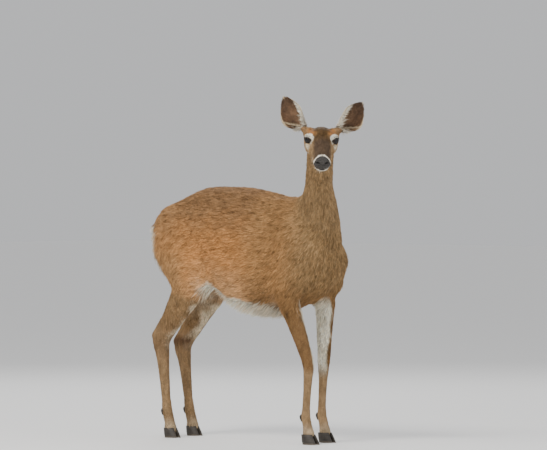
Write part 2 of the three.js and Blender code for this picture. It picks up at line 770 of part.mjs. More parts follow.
// A solid's part before a cut and its part after it.
function splitAt(solid, at, way) {
  const before = solid.intersect(blockSolid(across(at, way.clone().negate()), gap / 2));
  const after = solid.intersect(blockSolid(across(at, way), gap / 2));
  return [before, after];
}
const underFetlock = v3(0.5, 0, -0.86);
const footOf = (leg, solid) => {
  const below = joint(leg, "fetlock").add(v3(0, 0, -16));
  const [cannon, foot] = splitAt(solid, below, underFetlock);
  return [cannon, splitAt(foot, coronet(leg), downCut)[0]];
};
function foreSolids(leg, own) {
  const knee = joint(leg, "knee");
  const [forearm, rest] = splitAt(keep(joined, own), knee.add(v3(0, 0, -24)), downCut);
  return [forearm, ...footOf(leg, rest)];
}
function hindSolids(leg, own) {
  const stifle = joint(leg, "stifle");
  const hock = joint(leg, "hock");
  const way = hock.clone().sub(stifle).normalize();
  const cut = between(stifle, hock, 0.82);
  const toCut = own.at.clone().sub(stifle).dot(stifleWay) / way.dot(stifleWay);
  const start = stifle.clone().addScaledVector(way, toCut - 1);
  const field = insideOf(own, -30);
  const upPath = [start, between(stifle, hock, 0.62), cut.clone().addScaledVector(way, 4)];
  const upper = castSolid(field, ringsThrough(upPath, 7, alongY, stifleWay, way), evenTurns(14), 150);
  const middle = between(hock, joint(leg, "fetlock"), 0.5);
  const top = cut.clone().addScaledVector(way, -4);
  const downPath = [top, hock, middle, ...footPath(leg)];
  const downRings = ringsThrough(downPath, 13, alongY, way, downCut);
  const lower = castSolid(field, downRings, evenTurns(12), 120);
  const gaskinSolid = splitAt(keep(upper, own), cut, way)[0];
  return [gaskinSolid, ...footOf(leg, splitAt(lower, cut, way)[1])];
}

// One claw of a hoof: pointed in front, round behind, straight beside its twin. Each pair is a
// share of the length and a share of the width.
const clawOuter = [
  [0, 0.45],
  [0.08, 0.8],
  [0.3, 1],
  [0.55, 0.93],
  [0.8, 0.66],
  [0.95, 0.34],
  [1, 0.12],
];
const clawInner = [
  [0.95, 0],
  [0.62, 0.04],
  [0.3, 0],
  [0.06, 0.08],
];
const clawLevels = [
  { z: 0, back: -0.4, front: 0.58, width: 21.5 },
  { z: 14, back: -0.45, front: 0.46, width: 22.5 },
  { z: coronetLevel - gap / 2, back: -0.5, front: 0.24, width: 21 },
];
function clawSolid(leg, hand) {
  const turn = degToRad(leg.splay) * hand;
  const heel = -0.5 * leg.sole;
  const loops = clawLevels.map(({ z, back, front, width }) =>
    [...clawOuter, ...clawInner].map(([share, spread]) => {
      const x = leg.sole * lerp(back, front, share) - heel;
      const y = hand * (1.1 + width * spread);
      const ahead = x * Math.cos(turn) - y * Math.sin(turn) + heel;
      const aside = x * Math.sin(turn) + y * Math.cos(turn);
      return v3(leg.foot[0] + ahead, leg.side * leg.foot[1] + aside, z);
    }),
  );
  if (hand > 0) loops.forEach((loop) => loop.reverse());
  return solidOf(closedOver(loops));
}
function dewclawSolid(leg, hand) {
  const cone = new THREE.CylinderGeometry(9.5, 5.5, 24, 6);
  const hang = v3(0.16, -0.1 * hand, 1).normalize();
  cone.applyQuaternion(new THREE.Quaternion().setFromUnitVectors(alongY, hang));
  const fetlock = joint(leg, "fetlock");
  const out = v3(-0.84, hand * 0.54, 0);
  const behind = leg.elbow ? 18.6 : 20; // just clear of the fetlock
  const at = fetlock.clone().addScaledVector(out, behind + 1.4).add(v3(0, 0, -6));
  const heel = across(fetlock.addScaledVector(out, behind), out.setZ(0.12).normalize());
  return keep(solidOf(cone.translate(at.x, at.y, at.z)), heel);
}
legs.forEach((leg, i) => {
  const end = leg.elbow ? "fore" : "hind";
  const side = leg.side > 0 ? "left" : "right";
  const [upper, cannon, pastern] = (leg.elbow ? foreSolids : hindSolids)(leg, legBlocks[i]);
  piece(`${leg.elbow ? "forearm" : "gaskin"}_${side}`, upper, "coat");
  piece(`${end}_cannon_${side}`, cannon, "coat");
  piece(`${end}_pastern_${side}`, pastern, "coat");
  for (const hand of [1, -1]) {
    const place = `${end}_${side}_${hand === leg.side ? "outer" : "inner"}`;
    piece(`hoof_${place}`, clawSolid(leg, hand), "horn");
    piece(`dewclaw_${place}`, dewclawSolid(leg, hand), "horn");
  }
});

// ---- the assembled doe, centred over the origin ----
const looks = {
  coat: { color: 0x9a6f4c, roughness: 0.92, metalness: 0 },
  eye: { color: 0x120d0a, roughness: 0.08, metalness: 0 },
  nose: { color: 0x17130f, roughness: 0.42, metalness: 0 },
  horn: { color: 0x2a2520, roughness: 0.55, metalness: 0 },
};
const doe = new THREE.Group();
for (const { name, solid, look } of pieces) {
  const material = new THREE.MeshStandardMaterial(looks[look]);
  const mesh = new THREE.Mesh(geometryOf(solid), material);
  mesh.name = name;
  doe.add(mesh);
}
const bounds = new THREE.Box3().setFromObject(doe);
const centre = bounds.getCenter(v3(0, 0, 0));
doe.children.forEach((mesh) =>
  mesh.geometry.translate(-centre.x, -centre.y, -bounds.min.z),
);

export default doe;
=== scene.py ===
import math
from contextlib import contextmanager

import bpy
import numpy as np
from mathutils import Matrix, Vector
from mathutils.bvhtree import BVHTree


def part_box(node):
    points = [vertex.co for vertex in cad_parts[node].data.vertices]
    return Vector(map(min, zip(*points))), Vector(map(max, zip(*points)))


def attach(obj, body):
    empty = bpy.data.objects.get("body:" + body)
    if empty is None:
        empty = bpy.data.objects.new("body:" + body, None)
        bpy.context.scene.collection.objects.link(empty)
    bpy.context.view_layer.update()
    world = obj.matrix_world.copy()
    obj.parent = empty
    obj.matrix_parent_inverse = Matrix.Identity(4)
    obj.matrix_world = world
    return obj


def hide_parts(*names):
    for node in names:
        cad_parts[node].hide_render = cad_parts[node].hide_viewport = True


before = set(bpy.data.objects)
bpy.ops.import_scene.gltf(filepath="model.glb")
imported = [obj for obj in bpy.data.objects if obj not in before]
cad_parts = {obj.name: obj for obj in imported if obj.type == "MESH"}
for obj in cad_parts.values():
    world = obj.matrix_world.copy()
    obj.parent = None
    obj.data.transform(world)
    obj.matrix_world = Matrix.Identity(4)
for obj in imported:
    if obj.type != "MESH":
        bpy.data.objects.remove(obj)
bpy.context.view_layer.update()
chance = np.random.default_rng(11)
mm = 0.001


def onlySelect(piece):
    bpy.ops.object.select_all(action="DESELECT")
    piece.select_set(True)
    bpy.context.view_layer.objects.active = piece


# mesh steps on one piece, which starts with all of it selected
@contextmanager
def editing(piece):
    onlySelect(piece)
    bpy.ops.object.mode_set(mode="EDIT")
    bpy.ops.mesh.select_all(action="SELECT")
    yield
    bpy.ops.object.mode_set(mode="OBJECT")


def joined(parts):
    onlySelect(parts[0])
    for part in parts[1:]:
        part.select_set(True)
    if len(parts) > 1:
        bpy.ops.object.join()
    return parts[0]


def applyModifier(piece, kind, **settings):
    onlySelect(piece)
    modifier = piece.modifiers.new(kind.title(), kind)
    for name, value in settings.items():
        setattr(modifier, name, value)
    bpy.ops.object.modifier_apply(modifier=modifier.name)


def meshCopy(name, nodes):
    parts = []
    for node in nodes:
        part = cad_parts[node].copy()
        part.data = part.data.copy()
        part.parent = None
        for key in list(part.keys()):
            del part[key]
        bpy.context.scene.collection.objects.link(part)
        parts.append(part)
    piece = joined(parts)
    piece.name = name
    piece.data.name = name
    piece.data.materials.clear()
    with editing(piece):
        bpy.ops.mesh.remove_doubles(threshold=0.01 * mm)
    return piece


def cutAway(piece, height, above):
    with editing(piece):
        bpy.ops.mesh.bisect(
            plane_co=(0, 0, height), plane_no=(0, 0, 1), clear_outer=above, clear_inner=not above
        )
        bpy.ops.mesh.delete_loose()


def readAll(items, key, wide, kind=float):
    values = np.empty(len(items) * wide, kind)
    items.foreach_get(key, values)
    return values.reshape(-1, wide)


def pointsOf(piece):
    return readAll(piece.data.vertices, "co", 3)


def normalsOf(piece):
    return readAll(piece.data.vertices, "normal", 3)


def edgesOf(piece):
    return readAll(piece.data.edges, "vertices", 2, np.int32)


def setPoints(piece, points):
    piece.data.vertices.foreach_set("co", points.astype(np.float32).ravel())
    piece.data.update()


def unit(vectors):
    return vectors / np.maximum(np.linalg.norm(vectors, axis=-1, keepdims=True), 1e-12)


# the part of each way that lies along a surface
def laid(ways, normals):
    return ways - normals * np.sum(ways * normals, axis=1)[:, None]


def ramp(low, high, values):
    share = np.clip((values - low) / (high - low), 0, 1)
    return share * share * (3 - 2 * share)


def hump(values, width):
    return np.exp(-((values / width) ** 2))


# values relaxed over a mesh, each vertex drawn towards the mean of its neighbours
def eased(values, edges, rounds, pull=0.5, weight=None):
    a, b = edges[:, 0], edges[:, 1]
    count = len(values)
    weight = np.ones(len(edges)) if weight is None else weight
    total = np.bincount(a, weight, count) + np.bincount(b, weight, count)
    total = np.maximum(total, 1e-9)
    values = values.copy().reshape(count, -1)
    pull = np.broadcast_to(pull, (count,))
    for _ in range(rounds):
        for column in range(values.shape[1]):
            v = values[:, column]
            mean = np.bincount(a, weight * v[b], count) + np.bincount(b, weight * v[a], count)
            values[:, column] = v + pull * (mean / total - v)
    return values


# eased, then given back the broad part of what that took away, so limbs keep their girth
def smoothed(points, edges, rounds, pull):
    soft = eased(points, edges, rounds, pull)
    return soft + eased(points - soft, edges, rounds, pull)


# the face has its own axes: ahead towards the nose, left, and up out of the forehead
def centreOf(node):
    low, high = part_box(node)
    return np.array((low + high) / 2)


leftEye, rightEye, noseMiddle = (centreOf(n) for n in ("eye_left", "eye_right", "nose"))
betweenEyes = (leftEye + rightEye) / 2
faceLeft = unit(leftEye - rightEye)
faceAhead = unit(noseMiddle - betweenEyes - faceLeft * ((noseMiddle - betweenEyes) @ faceLeft))
faceUp = np.cross(faceAhead, faceLeft)
faceAxes = np.array([faceAhead, faceLeft, faceUp])
eyeRadius = float(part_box("eye_left")[1].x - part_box("eye_left")[0].x) / 2 / mm
eyeSide = float((leftEye - betweenEyes) @ faceLeft) / mm


def eyeMiddle(side):
    return np.array([0, side * eyeSide, 0])


def toFace(points):
    return (points - betweenEyes) @ faceAxes.T / mm


def fromFace(places):
    return betweenEyes + np.asarray(places, float) @ faceAxes * mm


# a shader socket that takes part in sums
class Wire:
    def __init__(self, tree, socket=None):
        self.tree = tree
        self.socket = socket

    def make(self, kind, values=None, output=0, stops=None, **settings):
        node = self.tree.nodes.new("ShaderNode" + kind)
        for name, value in settings.items():
            setattr(node, name, value)
        if stops:
            steps = node.color_ramp.elements
            while len(steps) < len(stops):
                steps.new(0.5)
            for step, (place, colour) in zip(steps, stops):
                step.position = place
                step.color = colour
        for key, value in (values or {}).items():
            if isinstance(value, Wire):
                self.tree.links.new(value.socket, node.inputs[key])
            else:
                node.inputs[key].default_value = value
        return Wire(self.tree, node.outputs[output])

    def sum(self, operation, first, second=None):
        values = {0: first} if second is None else {0: first, 1: second}
        return self.make("Math", values, operation=operation)

    def __add__(self, other):
        return self.sum("ADD", self, other)

    def __sub__(self, other):
        return self.sum("SUBTRACT", self, other)

    def __mul__(self, other):
        return self.sum("MULTIPLY", self, other)

    def __truediv__(self, other):
        return self.sum("DIVIDE", self, other)

    def __radd__(self, other):
        return self.sum("ADD", other, self)

    def __rsub__(self, other):
        return self.sum("SUBTRACT", other, self)

    def __rmul__(self, other):
        return self.sum("MULTIPLY", other, self)

    # eased from 0 at low to 1 at high
    def between(self, low, high):
        values = {"Value": self, "From Min": low, "From Max": high}
        return self.make("MapRange", values, interpolation_type="SMOOTHSTEP")

    def mix(self, first, second):
        return self.make("Mix", {0: self, 6: first, 7: second}, 2, data_type="RGBA")


def newLook(name, **constants):
    look = bpy.data.materials.new(name)
    look.use_nodes = True
    shader = look.node_tree.nodes["Principled BSDF"]
    for key, value in constants.items():
        shader.inputs[key.replace("_", " ")].default_value = value
    return look, Wire(look.node_tree), shader


def feed(look, shader, **wires):
    for key, wire in wires.items():
        look.node_tree.links.new(wire.socket, shader.inputs[key.replace("_", " ")])


def objectPlaces(board, scale=(1, 1, 1)):
    place = board.make("TexCoord", output="Object")
    return board.make("Mapping", {"Vector": place, "Scale": scale})


def cloudy(board, places, scale, detail):
    return board.make("TexNoise", {"Vector": places, "Scale": scale, "Detail": detail}, output="Fac")


# hair: the tone is on each tuft, with painted shade darkening it towards its root and painted light
# brightening its tip
coatLook, board, shader = newLook("deerCoat", Roughness=0.66, Specular_IOR_Level=0.12)
tone = board.make("Attribute", attribute_name="tone")
grain = cloudy(board, objectPlaces(board), 420.0, 3.0)
deeper = board.make("VectorMath", {0: tone, 1: (0.8, 0.79, 0.78)}, operation="MULTIPLY")
feed(coatLook, shader, Base_Color=grain.between(0.35, 0.62).mix(deeper, tone))

# skin: the same tones under the hair, and the moist pebbled pad of the nose
skinLook, board, shader = newLook("deerSkin", Specular_IOR_Level=0.3)
tone = board.make("Attribute", attribute_name="tone")
wet = board.make("Attribute", {}, 2, attribute_name="wet")
places = objectPlaces(board)
fuzz = cloudy(board, places, 900.0, 4.0)
patch = cloudy(board, places, 60.0, 4.0)
pebble = board.make("TexVoronoi", {"Vector": places, "Scale": 620.0}, feature="DISTANCE_TO_EDGE")
pebbled = pebble.between(0.0, 0.22)
darker = board.make("VectorMath", {0: tone, 1: (0.7, 0.68, 0.66)}, operation="MULTIPLY")
base = patch.between(0.3, 0.7).mix(darker, tone)
padTone = pebbled.mix((0.011, 0.009, 0.008, 1), (0.056, 0.049, 0.043, 1))
sheenSpot = cloudy(board, places, 160.0, 2.0)
height = fuzz * (1 - wet) * 0.5 + pebbled * wet
bump = board.make("Bump", {"Height": height, "Distance": 0.0007, "Strength": 0.6})
# the nostrils are painted nearly black: painted shade inside their hollows
paintedNostrilShade = board.make("Attribute", {}, 2, attribute_name="nostrilShade")
padFull = paintedNostrilShade.mix(padTone, (0.002, 0.002, 0.002, 1))
feed(
    skinLook, shader, Base_Color=wet.mix(base, padFull), Normal=bump,
    Roughness=0.85 - wet * (0.42 + sheenSpot * 0.22),
)

# the wet dark rims of the lids
lidLook, board, shader = newLook("lidRim", Roughness=0.34)
mottle = cloudy(board, objectPlaces(board), 700.0, 3.0)
bump = board.make("Bump", {"Height": mottle, "Distance": 0.0003, "Strength": 0.5})
rim = mottle.between(0.35, 0.7).mix((0.008, 0.006, 0.005, 1), (0.03, 0.022, 0.017, 1))
feed(lidLook, shader, Base_Color=rim, Normal=bump)

# the eye: a wide level pupil in a dark brown iris, under a clear wet front
eyeLook, board, shader = newLook(
    "deerEye", Roughness=0.3, Specular_IOR_Level=0.0, Coat_Weight=0.6, Coat_Roughness=0.03
)
across = board.make("Attribute", {}, 2, attribute_name="across")
upward = board.make("Attribute", {}, 2, attribute_name="upward")
square = across * across + upward * upward
ring = square.sum("SQRT", square)
pupil = across.sum("POWER", across.sum("ABSOLUTE", across) / 0.47, 2.4)
pupil = pupil + across.sum("POWER", upward.sum("ABSOLUTE", upward) / 0.27, 2.4)
rays = cloudy(board, objectPlaces(board), 520.0, 3.0)
iris = rays.between(0.3, 0.75).mix((0.010, 0.005, 0.003, 1), (0.034, 0.015, 0.007, 1))
iris = ring.between(0.5, 0.72).mix(iris, (0.004, 0.003, 0.002, 1))
iris = pupil.between(0.8, 1.15).mix((0.0012, 0.0014, 0.002, 1), iris)
white = rays.between(0.3, 0.7).mix((0.05, 0.03, 0.02, 1), (0.12, 0.09, 0.07, 1))
feed(eyeLook, shader, Base_Color=ring.between(0.88, 0.98).mix(iris, white))

# hoof horn: dark, with growth rings round it and paler worn edges below
hornLook, board, shader = newLook("hoofHorn", Specular_IOR_Level=0.4)
places = objectPlaces(board)
low = board.make("SeparateXYZ", {0: places}, output="Z")
wobble = cloudy(board, places, 60.0, 3.0)
rings = cloudy(board, objectPlaces(board, (0.1, 0.1, 1)), 320.0, 2.0)
grain = cloudy(board, objectPlaces(board, (1, 1, 0.3)), 260.0, 4.0)
horn = (rings * 0.5 + grain * 0.5).between(0.3, 0.7)
horn = horn.mix((0.016, 0.013, 0.010, 1), (0.048, 0.038, 0.029, 1))
worn = (low + wobble * 0.006).between(0.011, 0.002)
horn = (worn * 0.7).mix(horn, (0.17, 0.135, 0.10, 1))
bump = board.make("Bump", {"Height": rings * 0.8 + grain * 0.2, "Distance": 0.0004, "Strength": 0.45})
feed(hornLook, shader, Base_Color=horn, Normal=bump, Roughness=0.42 + grain * 0.25 + worn * 0.2)

# the skin: the flesh nodes made one surface, sunk by the depth of the coat
skinPlan = {
    "bodyGrain": 6.5,  # mm between points
    "headGrain": 2.5,
    "joinHeight": 0.9355,  # metres up the neck, where the finer head meets the body
    "joinGap": 4,  # mm left between the two and bridged
    "joinReach": 0.022,
    "swell": 0.5,
    "intoHoof": 8,  # mm the pasterns run down into the hooves
    "hoofTop": (0.05, 0.037),  # metres up, where that starts and is full
    "hips": {"behind": -0.12, "spread": 16, "rounds": 70},
}
rounds = {"head": 16, "body": 30, "join": 60}  # of smoothing
notFlesh = ("hoof", "dewclaw", "eye")
flesh = sorted(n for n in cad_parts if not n.startswith(notFlesh))
ears = ["ear_left", "ear_right"]
headParts = ["head", "jaw", "nose"]
bodyParts = [n for n in flesh if n not in ears + headParts]

# what the coat is in each region, in mm and degrees
hair = {
    "trunk": {"sink": 5.5, "length": 21, "width": 2.1, "lift": 13, "crowd": 1.0},
    "neck": {"sink": 5, "length": 19, "width": 1.9, "lift": 13, "crowd": 1.15},
    "head": {"sink": 2.2, "length": 8, "width": 1.1, "lift": 12, "crowd": 3.6},
    "nose": {"sink": 0.6, "length": 2.5, "width": 0.7, "lift": 10, "crowd": 0.0},
    "ear": {"sink": 0.4, "length": 9, "width": 1.2, "lift": 9, "crowd": 2.2},
    "tail": {"sink": 6, "length": 34, "width": 2.2, "lift": 16, "crowd": 1.6},
    "upperLeg": {"sink": 3.4, "length": 14, "width": 1.7, "lift": 11, "crowd": 1.5},
    "lowerLeg": {"sink": 1.9, "length": 8.5, "width": 1.3, "lift": 10, "crowd": 2.2},
    "foot": {"sink": 1.9, "length": 9, "width": 1.2, "lift": 13, "crowd": 2.6},
}
regions = list(hair)


def regionOf(node):
    for start, region in (
        ("forearm", "upperLeg"), ("gaskin", "upperLeg"), ("fore_cannon", "lowerLeg"),
        ("hind_cannon", "lowerLeg"), ("fore_pastern", "foot"), ("hind_pastern", "foot"),
        ("ear", "ear"), ("jaw", "head"),
    ):
        if node.startswith(start):
            return region
    return node


# every flesh triangle in one tree, so that any point can be told its node
fleshPoints, fleshFaces, faceOwner = [], [], []
for index, node in enumerate(flesh):
    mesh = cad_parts[node].data
    mesh.calc_loop_triangles()
    start = len(fleshPoints)
    fleshPoints += [v.co.copy() for v in mesh.vertices]
    for triangle in mesh.loop_triangles:
        fleshFaces.append([start + v for v in triangle.vertices])
        faceOwner.append(index)
fleshTree = BVHTree.FromPolygons(fleshPoints, fleshFaces)


def ownersOf(points):
    return np.array([faceOwner[fleshTree.find_nearest(Vector(p))[2]] for p in points])


def remeshed(name, nodes, grain):
    piece = meshCopy(name, nodes)
    applyModifier(piece, "DISPLACE", strength=skinPlan["swell"] * mm, mid_level=0)
    applyModifier(piece, "REMESH", mode="VOXEL", voxel_size=grain * mm)
    return piece


# the head is smoothed all over, but less at the nose
def easeHead(piece):
    points, edges = pointsOf(piece), edgesOf(piece)
    ahead = toFace(points)[:, 0]
    pull = 0.5 - 0.25 * ramp(120, 150, ahead)
    setPoints(piece, smoothed(points, edges, rounds["head"], pull))


# the trunk and neck are smoothed far more than the thin legs, and the hips most
def easeBody(piece):
    points, edges = pointsOf(piece), edgesOf(piece)
    owners = ownersOf(points)
    broad = np.array([flesh[i] in ("trunk", "neck") for i in owners], float)
    pull = eased(0.05 + 0.45 * broad, edges, 10)[:, 0]
    points = smoothed(points, edges, rounds["body"], pull)
    hips = skinPlan["hips"]
    onHip = eased(broad, edges, hips["spread"])[:, 0]
    onHip = 4 * onHip * (1 - onHip) * (points[:, 0] < hips["behind"])
    setPoints(piece, smoothed(points, edges, hips["rounds"], 0.5 * onHip))


head = remeshed("headSkin", headParts + ["eye_left", "eye_right", "neck"], skinPlan["headGrain"])
easeHead(head)
cutAway(head, skinPlan["joinHeight"] + skinPlan["joinGap"] / 2 * mm, above=False)
skin = remeshed("skin", bodyParts, skinPlan["bodyGrain"])
easeBody(skin)
cutAway(skin, skinPlan["joinHeight"] - skinPlan["joinGap"] / 2 * mm, above=True)
skin = joined([skin, head])
with editing(skin):
    bpy.ops.mesh.select_mode(type="EDGE")
    bpy.ops.mesh.select_all(action="DESELECT")
    bpy.ops.mesh.select_non_manifold(extend=False, use_wire=False, use_verts=False)
    bpy.ops.mesh.bridge_edge_loops()
    bpy.ops.mesh.select_mode(type="VERT")
    bpy.ops.mesh.select_all(action="SELECT")
    bpy.ops.mesh.quads_convert_to_tris()
points = pointsOf(skin)
atJoin = hump(points[:, 2] - skinPlan["joinHeight"], skinPlan["joinReach"])
setPoints(skin, smoothed(points, edgesOf(skin), rounds["join"], 0.5 * atJoin))
print("skin joined:", len(skin.data.vertices), "points")


# finer faces round the eyes and the nose
def refine(piece, places, reach):
    where = toFace(pointsOf(piece))
    near = np.zeros(len(where), bool)
    for place in places:
        near |= np.linalg.norm(where - np.array(place), axis=1) < reach
    onlySelect(piece)
    bpy.ops.object.mode_set(mode="EDIT")
    bpy.ops.mesh.select_all(action="DESELECT")
    bpy.ops.object.mode_set(mode="OBJECT")
    piece.data.vertices.foreach_set("select", near)
    bpy.ops.object.mode_set(mode="EDIT")
    bpy.ops.mesh.select_mode(type="VERT")
    bpy.ops.mesh.subdivide(number_cuts=1)
    bpy.ops.object.mode_set(mode="OBJECT")


noseHalf = 18  # mm from the middle of the nose to its tip
noseTip = float((noseMiddle - betweenEyes) @ faceAhead) / mm + noseHalf
refine(skin, [(2, eyeSide, 0), (2, -eyeSide, 0)], reach=30)
refine(skin, [(noseTip - noseHalf, 0, -4)], reach=34)

skinPoints = pointsOf(skin)
ownRegion = np.array([regions.index(regionOf(flesh[i])) for i in ownersOf(skinPoints)])
share = eased(np.eye(len(regions))[ownRegion], edgesOf(skin), 14)
sink = share @ np.array([hair[r]["sink"] for r in regions])
skinPoints = skinPoints - normalsOf(skin) * sink[:, None] * mm
skinPoints[:, 2] -= skinPlan["intoHoof"] * mm * ramp(*skinPlan["hoofTop"], skinPoints[:, 2])
setPoints(skin, skinPoints)
print("coat depth taken off")

# the lids, an almond slit round each eye
lids = {
    "halfWide": 48,  # degrees, seen from the middle of the eye
    "halfHigh": 30,
    "tilt": -27,
    "almond": 1.6,  # 2 is an oval, 1 a diamond
    "thick": 2.0,
    "hidden": 3.0,  # mm the skin goes on below the eye's own surface
    "gaze": (0.72, 0.68, 0.2),  # ahead, aside, up
    "fade": (34, 42),  # mm from the eye's middle, where the lids run out into the face
    "crease": {"deep": 1.1, "at": 1.42, "wide": 0.09},
    "bulge": {"high": 0.7, "at": 1.22, "wide": 0.12},
}


def eyeAxes(side):
    gaze = unit(np.array([lids["gaze"][0], side * lids["gaze"][1], lids["gaze"][2]]))
    front = unit(np.array([1.0, 0, 0]) - gaze * gaze[0])
    upper = np.cross(gaze, front) * side * -1
    tilt = math.radians(lids["tilt"])
    front, upper = (
        front * math.cos(tilt) - upper * math.sin(tilt),
        upper * math.cos(tilt) + front * math.sin(tilt),
    )
    return gaze, front, upper


# how far the edge of the lids lies from the gaze, all the way round
def lidAngle(turn):
    power = lids["almond"]
    wide = np.abs(np.cos(turn)) / math.radians(lids["halfWide"])
    high = np.abs(np.sin(turn)) / math.radians(lids["halfHigh"])
    high = high * np.where(np.sin(turn) < 0, 1.12, 0.94)
    return (wide**power + high**power) ** (-1 / power)


# the skin pushed out over the eye and in through the slit
def shapeEye(where, side):
    crease, bulge, fade = lids["crease"], lids["bulge"], lids["fade"]
    gaze, front, upper = eyeAxes(side)
    offset = where - eyeMiddle(side)
    reach = np.linalg.norm(offset, axis=1)
    way = offset / np.maximum(reach, 1e-6)[:, None]
    away = np.arccos(np.clip(way @ gaze, -1, 1))
    turn = np.arctan2(way @ upper, way @ front)
    share = away / lidAngle(turn)
    near = (reach < fade[1]) & (away < 2.0)
    upperLid = ramp(-0.2, 0.6, np.sin(turn))
    lid = eyeRadius + lids["thick"] + 0.5 * upperLid
    fold = hump(share - (crease["at"] + 0.05 * upperLid), crease["wide"])
    outer = lid + -crease["deep"] * fold * (0.4 + 0.6 * upperLid)
    outer = outer + bulge["high"] * hump(share - bulge["at"], bulge["wide"])
    seat = np.maximum(reach, outer - 1.0)
    grown = outer + (seat - outer) * ramp(1.35, 2.05, share)
    inner = eyeRadius - lids["hidden"]
    made = inner + (grown - inner) * ramp(0.93, 1.02, share)
    made = np.where(near, made, reach)
    made = reach + (made - reach) * (1 - ramp(*fade, reach))
    return eyeMiddle(side) + way * made[:, None]


where = toFace(pointsOf(skin))
for side in (1, -1):
    where = shapeEye(where, side)

mouth = {"front": (noseTip - 5, -21.5), "slope": 0.135, "back": 88, "depth": 1.8, "width": 1.7}
nostril = {"at": (noseTip - 8, 14.5, 3.5), "long": 8.0, "wide": 3.4, "depth": 6.5}
groovePlan = {"upperLip": 1.1, "lowerLip": 1.0, "gland": 1.3}  # mm deep, or proud for the lower lip


def mouthLevel(ahead):
    return mouth["front"][1] - mouth["slope"] * (mouth["front"][0] - ahead)


def mouthMask(where, width):
    ahead, up = where[:, 0], where[:, 2]
    back = mouth["front"][0] - mouth["back"]
    within = ramp(back, back + 12, ahead)
    return hump(up - mouthLevel(ahead), width) * within


def nostrilMask(where, grow=1.0):
    total = np.zeros(len(where))
    for side in (1, -1):
        off = where - np.array(nostril["at"]) * np.array([1, side, 1])
        # the slit curls outward and up from the front
        along = off[:, 1] * side * 0.86 - off[:, 0] * 0.5
        across = off[:, 2] - 0.10 * off[:, 1] * side + 0.035 * along**2 - 1
        along, across = along / (nostril["long"] * grow), across / (nostril["wide"] * grow)
        total += np.exp(-(along**2) - across**2) * (where[:, 0] > noseTip - 34)
    return np.clip(total, 0, 1)


setPoints(skin, fromFace(where))
onward = normalsOf(skin) @ faceAxes.T
groove = mouth["depth"] * mouthMask(where, mouth["width"])
groove += nostril["depth"] * nostrilMask(where)
philtrum = hump(where[:, 1], 1.3) * ramp(noseTip - 12, noseTip - 6, where[:, 0])
groove += groovePlan["upperLip"] * philtrum * (1 - ramp(-3, 3, where[:, 2]))
lip = hump(where[:, 2] - mouthLevel(where[:, 0]) + 4.5, 3)
groove -= groovePlan["lowerLip"] * lip * mouthMask(where, 9)
# the slit of the scent gland runs forward from the inner corner of each eye
for side in (1, -1):
    gaze, front, _ = eyeAxes(side)
    corner = eyeMiddle(side) + eyeRadius * 1.1 * (gaze * 0.62 + front * 0.78)
    slitWay = unit(np.array([1, -0.12 * side, -0.25]))
    off = where - corner
    along = off @ slitWay
    far = np.linalg.norm(off - along[:, None] * slitWay, axis=1)
    groove += groovePlan["gland"] * hump(far, 1.8) * ramp(-2, 3, along) * (1 - ramp(9, 15, along))
where = where - onward * groove[:, None]
setPoints(skin, fromFace(where))
print("face shaped")

# the ears are thin rolled shells, joined to the skin at their roots
earParts = []
for node in ears:
    ear = meshCopy(node + "Shell", [node])
    with editing(ear):
        bpy.ops.mesh.tris_convert_to_quads()
    applyModifier(ear, "SUBSURF", levels=2, render_levels=2)
    earParts.append(ear)
headCount = len(skin.data.vertices)  # the points after these are the ears'
skin = joined([skin, *earParts])
with editing(skin):
    bpy.ops.uv.smart_project(angle_limit=math.radians(66), island_margin=0.001)
skin.data.uv_layers.active.name = "OFBake"
bpy.ops.object.shade_smooth()
print("skin complete:", len(skin.data.vertices), "points", len(skin.data.polygons), "faces")
skin.data.materials.append(skinLook)

# what the coat follows: each region's share, the lie of the hair, streaks and blotches
points, normals, edges = pointsOf(skin), normalsOf(skin), edgesOf(skin)
owners = ownersOf(points)
owners[headCount:] = [
    flesh.index("ear_left" if (p - betweenEyes) @ faceLeft > 0 else "ear_right")
    for p in points[headCount:]
]
ownNode = np.array([flesh[i] for i in owners])
ownRegion = np.array([regions.index(regionOf(n)) for n in ownNode])
ownRegion[:headCount][ownRegion[:headCount] == regions.index("ear")] = regions.index("head")
share = eased(np.eye(len(regions))[ownRegion], edges, 10)
middle = (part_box("trunk")[0].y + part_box("trunk")[1].y) / 2
trunkLow, trunkHigh = (np.array(v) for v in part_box("trunk"))
trunkLong = trunkHigh[0] - trunkLow[0]


def part(name):
    return share[:, regions.index(name)]


def within(name):
    return ownRegion == regions.index(name)


# the direction each hair points, before it is laid along the skin
neckLow, neckHigh = (np.array(v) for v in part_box("neck"))
headBase = fromFace((-90, 0, -48))
neckBase = np.array([neckLow[0] + 0.06, (neckLow[1] + neckHigh[1]) / 2 + 0.08, neckLow[2]])
downNeck = unit(neckBase - headBase)
downFace = unit(np.array([faceAhead[0], faceAhead[1], 0]))
flow = np.tile([-0.95, 0, -0.24], (len(points), 1))
outward = np.sign(points[:, 1] - middle)
along = (points[:, 0] - trunkLow[0]) / trunkLong
shoulder = ramp(0.66, 0.8, along) * (1 - ramp(0.7, 0.86, points[:, 2]))
thigh = (1 - ramp(0.22, 0.36, along)) * (1 - ramp(0.68, 0.84, points[:, 2]))
steep = np.where(within("trunk"), np.maximum(0.55 * shoulder, 0.75 * thigh), 0)[:, None]
flow = flow * (1 - steep) + np.array([-0.25, 0, -0.95]) * steep
flow[within("neck")] = downNeck + np.array([-0.15, 0, 0])
for leg in ("upperLeg", "lowerLeg", "foot"):
    flow[within(leg)] = (-0.12, 0, -1)
flow[within("tail")] = (-0.15, 0, -1)
isHead = within("head") | within("nose")
where = toFace(points)
flow[isHead] = -faceAhead + faceLeft * 0.22 * np.tanh(where[isHead, 1:2] / 25)
below = ramp(-20, -60, where[:, 2])[:, None]
flow = np.where(isHead[:, None], flow + below * np.array([0, 0, -0.35]), flow)
earAxes = {}
